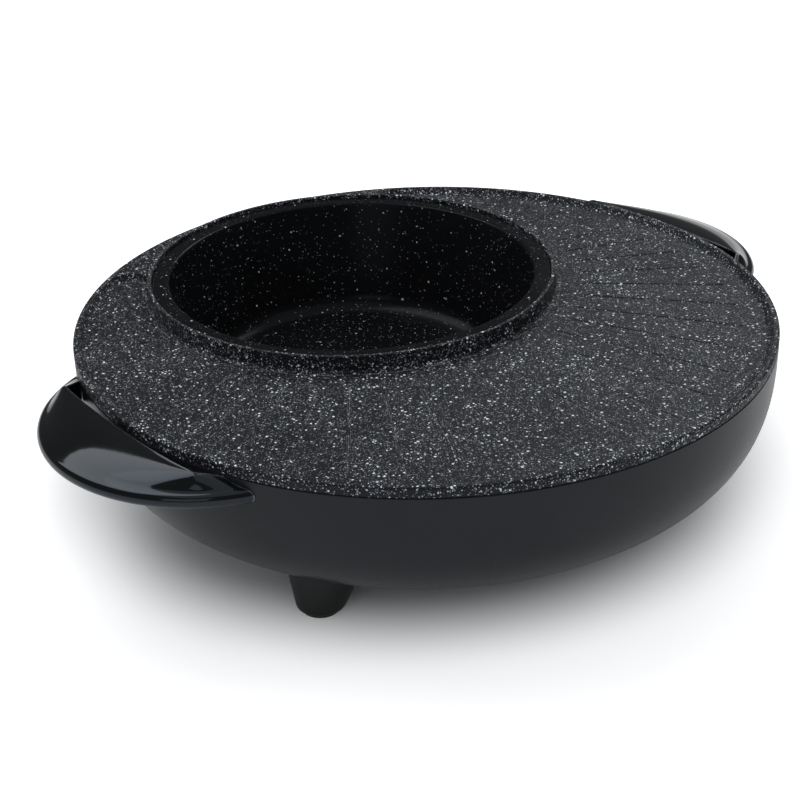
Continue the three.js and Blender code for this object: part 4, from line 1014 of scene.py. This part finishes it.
def round_dial(y, turn, radius):
    """A place on the dial plate, by the clockwise turn from the top of a dial."""
    a = math.radians(turn)
    return y + radius * math.sin(a), radius * math.cos(a)


# Every second mark is longer, and those at the plate's upper and lower edge are short
for zone, y in zones:
    for step in range(mark_count):
        turn = mark_turn * step
        reach = mark_short if step in (0, 7, 8) else mark_to + mark_more * (step % 2 == 0)
        printed_strip(round_dial(y, turn, mark_from), round_dial(y, turn, reach), mark_half)
for sweep, middle in ((360, lamp_rise), (200, -lamp_rise)):
    turns = [180 - sweep / 2 + sweep * k / lamp_ring_steps for k in range(lamp_ring_steps + 1)]
    spots = [round_dial(0, turn, lamp_ring) for turn in turns]
    for a, b in zip(spots, spots[1:]):
        printed_strip((a[0], a[1] + middle), (b[0], b[1] + middle), lamp_ring_half)
marks = moved(lofted("dial_marks", *strips), at_panel)
for zone, y in zones:
    for label, turn, radius in (("1", 50, 0.0220), ("2", 100, 0.0222), ("5", 250, 0.0222)):
        face = bpy.data.curves.new("number", "FONT")
        face.body = label
        face.size = number_size
        face.extrude = print_rise
        face.align_x, face.align_y = "CENTER", "CENTER"
        face.resolution_u = 3
        writing = stand("number", face)
        number = bpy.data.meshes.new_from_object(writing)
        bpy.data.objects.remove(writing)
        number.transform(at_panel @ shift(fascia_front, *round_dial(y, turn, radius)) @ outward)
        all_marks = bmesh.new()
        all_marks.from_mesh(marks.data)
        all_marks.from_mesh(number)
        all_marks.to_mesh(marks.data)
        all_marks.free()
        bpy.data.meshes.remove(number)
ink = plastic("white_ink", (0.62, 0.63, 0.62), 0.5, 0.0002, 0.05, gloss=0.3, edge=1.05, dust=0.1)
dress(marks, ink, "base", "gloss_black", angle=None)

lamp_back = panel_inside - panel_wall
lamp_outline = eased([
    (0, lamp_back), (lamp_radius, lamp_back, 0.0003), (lamp_radius, fascia_front + 0.0004, 0.0005),
    (0.0016, fascia_front + 0.00105, 0.0008), (0, fascia_front + 0.0012),
])
red, green = (0.42, 0.012, 0.010), (0.028, 0.30, 0.060)
lamps = (("grill", -lamp_rise, red, "red_lens"), ("pot", lamp_rise, green, "green_lens"))
for zone, z, colour, slot in lamps:
    lamp = moved(turned(zone + "_lamp", lamp_outline, 48), at_panel @ shift(z=z) @ outward)
    lens_finish, tree, skin = finish(zone + "_lens_plastic", {"Coat Weight": 0.5})
    facets = noise_at(tree, 0.0011, 1.0)
    laid_on(tree, skin, blended(tree, facets, tinged(colour, 0.7), colour), 0.08, facets, 0.1)
    dress(lamp, lens_finish, "base", slot, zone + "_lens", angle=50)


# Dials
# Two glossy black phenolic dials pushed on steel axles: a round skirt with a fine knurl, a
# raised grip bar across it, and a white line let into the bar.

dial_back = fascia_front + 0.0005
dial_radius, dial_rise, dial_skirt = 0.017, 0.015, 0.009
dial_grip_wide, dial_grip_long, dial_grip_corner = 0.008, 0.0276, 0.0034
knurl_count, knurl_depth = 54, 0.0115
knurl_from, knurl_low, knurl_high = 0.0158, 0.0008, 0.0076
line_rise = 0.0099
dial_outline = eased([
    (0, 0),
    (dial_radius - 0.0004, 0, 0.0004),
    (dial_radius, 0.0012, 0.0006),
    (dial_radius - 0.0008, 0.0072, 0.0012),
    (0.0134, dial_skirt, 0.0015),
    (0.010, dial_skirt, 0.001),
    (0, dial_skirt - 0.0006),
])
dial_finish = plastic("dial_phenolic", (0.0085, 0.0088, 0.0095), 0.16, 0.002, 0.02, edge=2.2, dust=0.08)
line_finish = plastic("line_ink", (0.68, 0.68, 0.66), 0.45, 0.0003, 0.05, gloss=0.3, edge=1.02, dust=0.15)
for zone, y in zones:
    dial = turned(zone + "_dial_knob", dial_outline, 216)
    for vertex in dial.data.vertices:
        if vertex.co.xy.length > knurl_from and knurl_low < vertex.co.z < knurl_high:
            wave = math.cos(knurl_count * math.atan2(vertex.co.y, vertex.co.x))
            vertex.co.xy *= 1 - knurl_depth * (0.5 + 0.5 * wave)
    moved(dial, outward)
    join(dial, slab(
        "grip", dial_grip_wide, dial_grip_long, dial_grip_corner, 0.0070, dial_rise, ease_front=0.0014
    ))
    cut(dial, rod("socket", (-past, 0, 0), (1, 0, 0), past + 0.0073, axle_radius + fit, 32))
    cut(dial, slab("groove", 0.0016, 0.0084, 0.0003, dial_rise - 0.0008, 0.02, at=shift(z=line_rise)))
    at_dial = at_panel @ shift(dial_back, y)
    dress(moved(dial, at_dial), dial_finish, zone + "_dial", "gloss_black", zone + "_knob", angle=35)
    line = slab(
        zone + "_dial_line", 0.00148, 0.0080, 0.0003, dial_rise - 0.00076, dial_rise - 0.00015,
        at=at_dial @ shift(z=line_rise),
    )
    dress(line, line_finish, zone + "_dial", "gloss_black", angle=None)


# Thermostats and their axles
# Behind the panel each dial's steel axle goes into a capillary thermostat: a round zinc-plated
# can on a rolled neck, on a screwed mounting plate, with two push-on tabs at the back.

zinc_colour = (0.46, 0.465, 0.46)
can_length, can_radius = 0.018, 0.0135
mount_back = panel_inside - fit - sheet
axle_back = mount_back - 0.0055
can_back = axle_back - can_length
tab_y = 0.00675
mount_long, mount_tall = 0.033976, 0.018


def metal(name, colour, rough, brush=None, depth=0.05, stain=None, grain=0.0004):
    """Bare or plated metal: fine or brushed grain, patches of tarnish, bright worn edges, painted shade in
    the corners.
    """
    made, tree, skin = finish(name, {"Metallic": 1.0})
    patches = noise_at(tree, 0.02, 4.0)
    lines = noise_at(tree, grain, 3.0, brush)
    tone = blended(tree, spread(tree, patches, 0.35, 0.7), colour, stain or tinged(colour, 0.78))
    worn = sums(tree, "MULTIPLY", use(tree, edge_highlight_and_wear, Reach=0.0006)["Mask"], 0.5)
    bright = blended(tree, worn, tone, [min(c, 0.9) for c in tinged(colour, 1.25)])
    # Sheltered corners are darkened towards the metal's own colour: painted shade
    painted_corner_shade = sums(tree, "MULTIPLY", use(tree, corner_dust_and_shade, Reach=0.003)["Mask"], 0.45)
    roughness = spread(tree, patches, 0.3, 0.7, rough - 0.06, rough + 0.1)
    laid_on(tree, skin, blended(tree, painted_corner_shade, bright, tinged(colour, 0.3)), roughness, lines, depth, 0.0004)
    return made


axle_finish = metal("axle_steel", zinc_colour, 0.3, brush=(1, 1, 12), depth=0.06)
can_finish = metal("thermostat_zinc", (0.40, 0.405, 0.40), 0.38)


def bar(name, start, length, radius, sides, ease=0):
    """A round bar that runs outwards along the dial's axis."""
    return rod(name, (start, 0, 0), (1, 0, 0), length, radius, sides, ease)


for zone, y in zones:
    there = at_panel @ shift(y=y)
    axle_start = axle_back + fit
    axle = bar(zone + "_axle", axle_start, dial_back + 0.007 - axle_start, axle_radius, 40, 0.0006)
    axle_node = zone + "_spindle"
    dress(moved(axle, there), axle_finish, frame["nodes"][axle_node]["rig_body"], "screw", axle_node)
    can = bar(zone + "_thermostat_can", can_back, can_length - 0.0006, can_radius, 64, 0.0012)
    join(
        can,
        bar("neck", axle_back - 0.0012, 0.0073, 0.008, 48, 0.0004),
        bar("bead", can_back + 0.0030, 0.0014, 0.01345, 64, 0.0006),
        slab("mount", mount_long, mount_tall, 0.002, mount_back, mount_back + sheet),
    )
    for tab_at in (-tab_y, tab_y):
        tab = slab("tab", 0.0009, 0.0063, 0.0002, can_back - 0.007, can_back + 0.0012, at=shift(y=tab_at))
        join(can, tab)
        cut(can, rod("eye", (can_back - 0.0045, tab_at - 0.003, 0), (0, 1, 0), 0.006, 0.0009, 20))
    cut(can, bar("socket", axle_back, 0.02, axle_radius + fit, 40))
    dress(moved(can, there), can_finish, "base", "sheet_steel", zone + "_thermostat")


# Mains inlet
# A black nylon appliance inlet clipped into the boxed seat under the right handle: a flat
# flange, a deep socket and three plated brass blades.

inlet_back = inlet_seat + fit
inlet_front = inlet_back + 0.0025
socket_floor = inlet_front - 0.019
blade_back = socket_floor + fit
dimple_y = 0.0148
mouth_half, mouth_rise, mouth_step, mouth_ease = 0.0128, 0.0073, 0.0035, 0.0011
mouth_outline = eased([
    (-mouth_half, -mouth_rise, mouth_ease),
    (mouth_half, -mouth_rise, mouth_ease),
    (mouth_half, mouth_rise - mouth_step, mouth_ease),
    (mouth_half - mouth_step, mouth_rise, mouth_ease),
    (mouth_step - mouth_half, mouth_rise, mouth_ease),
    (-mouth_half, mouth_rise - mouth_step, mouth_ease),
], 4)
inlet = slab("inlet_socket", inlet_wide, inlet_tall, inlet_corner, inlet_back, inlet_front, ease_front=0.0006)
join(inlet, slab(
    "body", inlet_body_wide, inlet_body_tall, inlet_corner, inlet_back - 0.024, inlet_back + 0.001,
    ease_back=0.001,
))
cut(inlet, prism("mouth", mouth_outline, 0, socket_floor, inlet_back + 0.01))
for u in (-dimple_y, dimple_y):
    cut(inlet, rod("dimple", (inlet_front - 0.0006, u, 0), (1, 0, 0), 0.004, 0.0011, 20))
inlet_finish = plastic("inlet_nylon", (0.011, 0.011, 0.0115), 0.5, 0.0004, 0.08, gloss=0.35, dust=0.2)
dress(moved(inlet, at_inlet), inlet_finish, "base", "matte_black", "power_inlet")
blade_finish = metal("blade_brass", (0.56, 0.44, 0.22), 0.26, brush=(10, 1, 1), depth=0.05)
for name, y, rise in (("live", -0.007, -0.002), ("neutral", 0.007, -0.002), ("earth", 0, 0.002)):
    blade = slab(
        "inlet_blade_" + name, 0.002, 0.004, 0.0005, blade_back, blade_back + 0.013, ease_front=0.0005,
        at=shift(0, y, inlet_height + rise),
    )
    dress(blade, blade_finish, "base", "pin", "inlet_pin_" + name)


# Bottom cover
# A pressed disc let into the underside, with a ring of cooling slots and two stiffening
# grooves, held by four screws.

cover_top = cover_ceiling - fit
cover_under = cover_top - cover_thickness
groove_depth = 0.0007
cover_profile = [(0, cover_under)]
for radius in (0.028, 0.076):
    cover_profile += [
        (radius - 0.0015, cover_under, 0.0004),
        (radius - 0.0005, cover_under + groove_depth, 0.0003),
        (radius + 0.0005, cover_under + groove_depth, 0.0003),
        (radius + 0.0015, cover_under, 0.0004),
    ]
cover_profile += [(cover_radius, cover_under, 0.0006), (cover_radius, cover_top, 0.0003), (0, cover_top)]
cover = turned("vent_cover", eased(cover_profile, 4), 144)
slot_count, slot_radius = 16, 0.049
slot_outline = [(slot_radius + u, v) for u, v in rounded_outline(0.030, 0.004, 0.00199)]
for k in range(slot_count):
    turn = Matrix.Rotation(2 * math.pi * k / slot_count, 4, "Z")
    cut(cover, moved(prism("vent", slot_outline, 2, 0, 0.04), turn))
cut(cover, *[screw_hole("cover_screw_%d" % k) for k in (1, 2, 3, 4)])
cover_finish = plastic("cover_plastic", (0.0100, 0.0102, 0.0108), 0.55, 0.0005, 0.1, gloss=0.3, dust=0.3)
dress(cover, cover_finish, "base", "matte_black", "bottom_cover")


# Reflector pan
# A pan pressed from bright aluminised steel that rests on the bowl's ledge and throws the heat
# up, with a deep well round the pot and openings for the tubes' ends.

pan_flange = rim_bore - fit
pan_mouth = pan_flange - 0.0066
pan_foot = pan_mouth - 0.004
pan_seat = pan_ledge_top + fit
pan_rim = pan_seat + sheet
pan_under = pan_seat - 0.011
pan_floor = pan_under + sheet
well_top = pan_foot - pot_y - fit
pan = turned("reflector_sheet", eased([
    (0, pan_under), (pan_foot, pan_under, 0.002), (pan_mouth, pan_seat, 0.0012),
    (pan_flange, pan_seat, 0.0004), (pan_flange, pan_rim, 0.0005), (0, pan_rim),
]), 192)
join(pan, turned("well", eased([
    (0, well_under), (well_foot, well_under, 0.004), (well_top, pan_seat), (0, pan_seat),
], 6), 160, pot_centre))
cut(pan, turned("inside", eased([
    (0, pan_floor), (pan_foot - sheet, pan_floor, 0.002), (pan_mouth - sheet, pan_rim - 0.0004, 0.0012),
    (pan_mouth + 0.0022, pan_rim + 0.004), (0, pan_rim + 0.004),
]), 192))
cut(pan, turned("well_inside", eased([
    (0, well_floor), (well_foot - sheet, well_floor, 0.004), (well_top - sheet, pan_floor - 0.0002, 0.0016),
    (well_top + 0.0006, pan_floor + 0.0012), (0, pan_floor + 0.0012),
], 6), 160, pot_centre))


# Heating tubes
# Two sheathed heating elements of stainless tube, darkened by heat: a hairpin under the grill
# crescent and an open ring under the pot. Their ends turn down through the pan to pins.

grill_tube_height = floor_under - fit - tube_radius
loop_outer = skirt_bore - 0.024
loop_inner = cut_collar + 0.026
ring_radius = 0.060
pin_radius, pin_length = 0.0014, 0.0045
grill_bend, grill_leg = 0.009, 0.017
pot_bend, pot_leg = 0.0045, 0.010
grill_opening, pot_opening = 0.005, 0.01


def leg_down(before, point, height, bend, leg):
    """From a tube's end on, a quarter bend downwards and a straight leg."""
    out = np.subtract(point, before) / np.linalg.norm(np.subtract(point, before))

    def at(turn, drop):
        reach, fall = bend * math.sin(turn), bend * (1 - math.cos(turn)) + drop
        return (point[0] + out[0] * reach, point[1] + out[1] * reach, height - fall)

    turns = [at(math.radians(a), 0) for a in (30, 60, 90)]
    return turns + [at(math.pi / 2, leg / 2), at(math.pi / 2, leg)]


def tube_route(line, height, bend, leg):
    """A level line of places with a leg down at each end."""
    start, end = (leg_down(a, b, height, bend, leg) for a, b in ((line[1], line[0]), (line[-2], line[-1])))
    return [*start[::-1], *[(*q, height) for q in line], *end]


def through(points, fine=6):
    """A smooth curve through the points, with a few places between each pair."""
    p = [np.array(q, float) for q in points]
    p = [2 * p[0] - p[1], *p, 2 * p[-1] - p[-2]]
    out = []
    for a, b, c, d in zip(p, p[1:], p[2:], p[3:]):
        t1, t2, t3 = np.cumsum([np.sqrt(np.linalg.norm(v)) for v in (b - a, c - b, d - c)])
        for t in np.linspace(t1, t2, fine, endpoint=False):
            ab = a + (b - a) * t / t1
            bc = b + (c - b) * (t - t1) / (t2 - t1)
            cd = c + (d - c) * (t - t2) / (t3 - t2)
            abc, bcd = ab + (bc - ab) * t / t2, bc + (cd - bc) * (t - t1) / (t3 - t1)
            out.append(abc + (bcd - abc) * (t - t1) / (t2 - t1))
    return out + [p[-2]]


def swept(name, spine, radii, sides=24):
    """A round form of changing radius along a line of points."""
    rings = []
    side = None
    for k, point in enumerate(spine):
        run = spine[min(k + 1, len(spine) - 1)] - spine[max(k - 1, 0)]
        run = run / np.linalg.norm(run)
        side = np.cross(run, (1, 0, 0)) if side is None else side - run * (side @ run)
        side = side / np.linalg.norm(side)
        other = np.cross(run, side)
        rings.append([
            tuple(point + radii[k] * (side * math.cos(a) + other * math.sin(a)))
            for a in (2 * math.pi * i / sides for i in range(sides))
        ])
    return lofted(name, rings)


outer_from, inner_from = math.radians(14), math.radians(-10)
outer_arc = arc((0, 0), loop_outer, outer_from, -math.pi - outer_from, 26)
inner_arc = arc(pot_centre, loop_inner, -math.pi - inner_from, inner_from, 26)
before_turn, turn_start = np.array(outer_arc[-2]), np.array(outer_arc[-1])
out = (turn_start - before_turn) / np.linalg.norm(turn_start - before_turn)
turn_point = (turn_start + inner_arc[0]) / 2 + out * np.linalg.norm(turn_start - inner_arc[0]) / 2
grill_line = [*outer_arc, tuple(turn_point), *inner_arc]
grill_route = tube_route(grill_line, grill_tube_height, grill_bend, grill_leg)
half_gap = math.radians(16)
ring_arc = arc(pot_centre, ring_radius, half_gap - math.pi / 2, 1.5 * math.pi - half_gap, 22)
pot_route = tube_route(ring_arc, pot_tube_height, pot_bend, pot_leg)
for x, y, z in (grill_route[0], grill_route[-1]):
    cut(pan, rod("opening", (x, y, pan_under - past), (0, 0, 1), 2 * past, grill_opening, 40))
# Five points make a leg, so the level part of the route begins at the sixth
for foot, bend in ((pot_route[0], pot_route[5]), (pot_route[-1], pot_route[-6])):
    foot, bend = Vector(foot[:2]), Vector(bend[:2])
    run = bend - foot
    ring = rounded_outline(run.length + pot_opening, pot_opening, 0.0047)
    opening = prism("opening", ring, 2, well_under - past, well_floor + 0.002)
    cut(pan, moved(opening, shift(*(foot + bend) / 2) @ Matrix.Rotation(math.atan2(run.y, run.x), 4, "Z")))
pan_finish = metal(
    "aluminised_sheet", (0.60, 0.61, 0.62), 0.3, brush=(1, 14, 1), stain=(0.44, 0.43, 0.41), grain=0.0008
)
dress(pan, pan_finish, "base", "sheet_steel", "reflector_pan")

tube_finish = metal(
    "heat_stained_tube", (0.26, 0.25, 0.235), 0.42, depth=0.08, stain=(0.16, 0.145, 0.13), grain=0.0005
)
for name, route in (("grill", grill_route), ("pot", pot_route)):
    spine = through(route)
    along = np.cumsum([0, *[np.linalg.norm(b - a) for a, b in zip(spine, spine[1:])]])
    radii = [tube_radius if min(s, along[-1] - s) > pin_length else pin_radius for s in along]
    tube = swept(name + "_heating_tube", spine, radii)
    dress(tube, tube_finish, "base", "heating_tube", name + "_element", angle=40)

# Bent strips of spring steel that carry the grill's tube above the pan
clip_low, clip_high = pan_floor + fit, grill_tube_height - tube_radius - fit
clip_half, clip_side = 0.0055, 0.005
clip_outline = eased([
    (-clip_half, clip_low, 0.0015),
    (clip_half, clip_low, 0.0004),
    (clip_half, clip_low + sheet, 0.0004),
    (sheet - clip_half, clip_low + sheet, 0.0005),
    (sheet - clip_half, clip_high - sheet, 0.0005),
    (clip_half, clip_high - sheet, 0.0004),
    (clip_half, clip_high, 0.0004),
    (-clip_half, clip_high, 0.0015),
])
clip_finish = metal("clip_steel", (0.50, 0.50, 0.49), 0.34, brush=(1, 1, 10))
clip_spots = [((0, 0), loop_outer, a) for a in (-20, -90, -160)]
clip_spots += [(pot_centre, loop_inner, a) for a in (-55, -125)]
for k, (centre, radius, turn) in enumerate(clip_spots, 1):
    clip = prism("tube_clip_%d" % k, clip_outline, 1, -clip_side, clip_side)
    cut(clip, rod("weld", (0, 0, clip_high - 0.0003), (0, 0, 1), 0.002, 0.0016))
    a = math.radians(turn)
    moved(clip, shift(*circle(centre, radius, a)) @ Matrix.Rotation(a, 4, "Z"))
    dress(clip, clip_finish, "base", "sheet_steel", "element_clip_%d" % k)


# Terminal block and thermal fuse
# A white glazed ceramic block on a pad in the bowl, with three pairs of brass clamps, and a
# ceramic thermal fuse that lies under the pan.

block_low = block_floor + fit
block_high = 0.008
barrier_long, barrier_wide, barrier_high = 0.034, 0.008, 0.014
clamp_pitch, clamp_side = 0.0115, 0.007
clamp_spots = [
    (block_x + k * clamp_pitch, block_y + side * clamp_side)
    for k in (-1, 0, 1) for side in (-1, 1)
]


def ceramic_bar(wide, across, high):
    rings = []
    for inset, z in ((0, 0), (0, high - 0.001), (0.0003, high - 0.0003), (0.001, high)):
        ring = rounded_outline(wide - 2 * inset, across - 2 * inset, 0.0016 - inset)
        rings.append([(block_x + u, block_y + v, block_low + z) for u, v in ring])
    return lofted("terminal_ceramic", rings)


block = join(
    ceramic_bar(2 * block_half_long, 2 * block_half_wide, block_high),
    ceramic_bar(barrier_long, barrier_wide, barrier_high),
)
cut(block, *[rod("well", (x, y, block_low + 0.006), (0, 0, 1), 0.01, 0.0021) for x, y in clamp_spots])
ceramic_finish = plastic("glazed_ceramic", (0.70, 0.68, 0.63), 0.28, 0.003, 0.03, edge=1.08, dust=0.35)
dress(block, ceramic_finish, "base", "ceramic", "terminal_block")
sleeves = []
for x, y in clamp_spots:
    sleeve = rod("terminal_clamps", (x, y, block_low + 0.0061), (0, 0, 1), 0.0013, 0.0019, 24, 0.0002)
    at_slit = shift(x, y, block_low + 0.0068) @ upward
    sleeves.append(cut(sleeve, slab("slit", 0.0036, 0.0006, 0.0002, 0, 0.01, at=at_slit)))
dress(join(*sleeves), blade_finish, "base", "pin")

fuse_low, fuse_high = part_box("thermal_fuse")
fuse_radius = (fuse_high.z - fuse_low.z) / 2
fuse_length = fuse_high.x - fuse_low.x
lead_radius, neck_radius = 0.0006, 0.0016
fuse = turned("fuse_body", eased([
    (0, 0),
    (lead_radius, 0),
    (lead_radius, 0.0050),
    (neck_radius, 0.0052, 0.0003),
    (fuse_radius, 0.0075, 0.0008),
    (fuse_radius, fuse_length - 0.0075, 0.0008),
    (neck_radius, fuse_length - 0.0052, 0.0003),
    (lead_radius, fuse_length - 0.0050),
    (lead_radius, fuse_length),
    (0, fuse_length),
], 4), 40)
fuse_middle = (fuse_low + fuse_high) / 2
moved(fuse, shift(fuse_low.x, fuse_middle.y, fuse_middle.z) @ outward)
dress(fuse, ceramic_finish, "base", "ceramic", "thermal_fuse", angle=40)


# Screws
# Eighteen zinc-plated steel screws with a pan head, a cross recess and a rolled thread hold the
# feet, handles, panel and cover. Each lies along its own screw of the frame.

thread_pitch = 0.001
thread_root, thread_crest = 0.0012, 0.00148
thread_start = 0.0012
head_outline = eased([
    (0, -head_height), (0.0027, -head_height, 0.0006), (0.0034, -0.0009, 0.0006),
    (0.0034, 0, 0.0002), (0.00145, 0),
], 4)
recess_wide, recess_thin, recess_depth = 0.0036, 0.0008, 0.0012
screw_finish = metal("screw_zinc", (0.50, 0.50, 0.48), 0.3, depth=0.06, stain=(0.42, 0.40, 0.34))
for node in screw_nodes:
    seat, direction, length = screw_line(node)
    outline = list(head_outline)
    for k in range(int((length - 0.003) / thread_pitch)):
        outline.append((thread_root, thread_start + k * thread_pitch))
        outline.append((thread_crest, thread_start + (k + 0.5) * thread_pitch))
    outline += [(thread_root, length - 0.0012), (0.0006, length - 0.0002), (0, length)]
    screw = turned("zinc_" + node, outline, 24)
    for across in ((recess_wide, recess_thin), (recess_thin, recess_wide)):
        cut(screw, slab("recess", *across, 0.0002, -0.004, recess_depth - head_height, at=upward))
    turn = direction.to_track_quat("Z", "Y").to_matrix().to_4x4()
    moved(screw, Matrix.Translation(seat) @ turn)
    dress(screw, screw_finish, frame["nodes"][node]["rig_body"], "screw", node, angle=25)
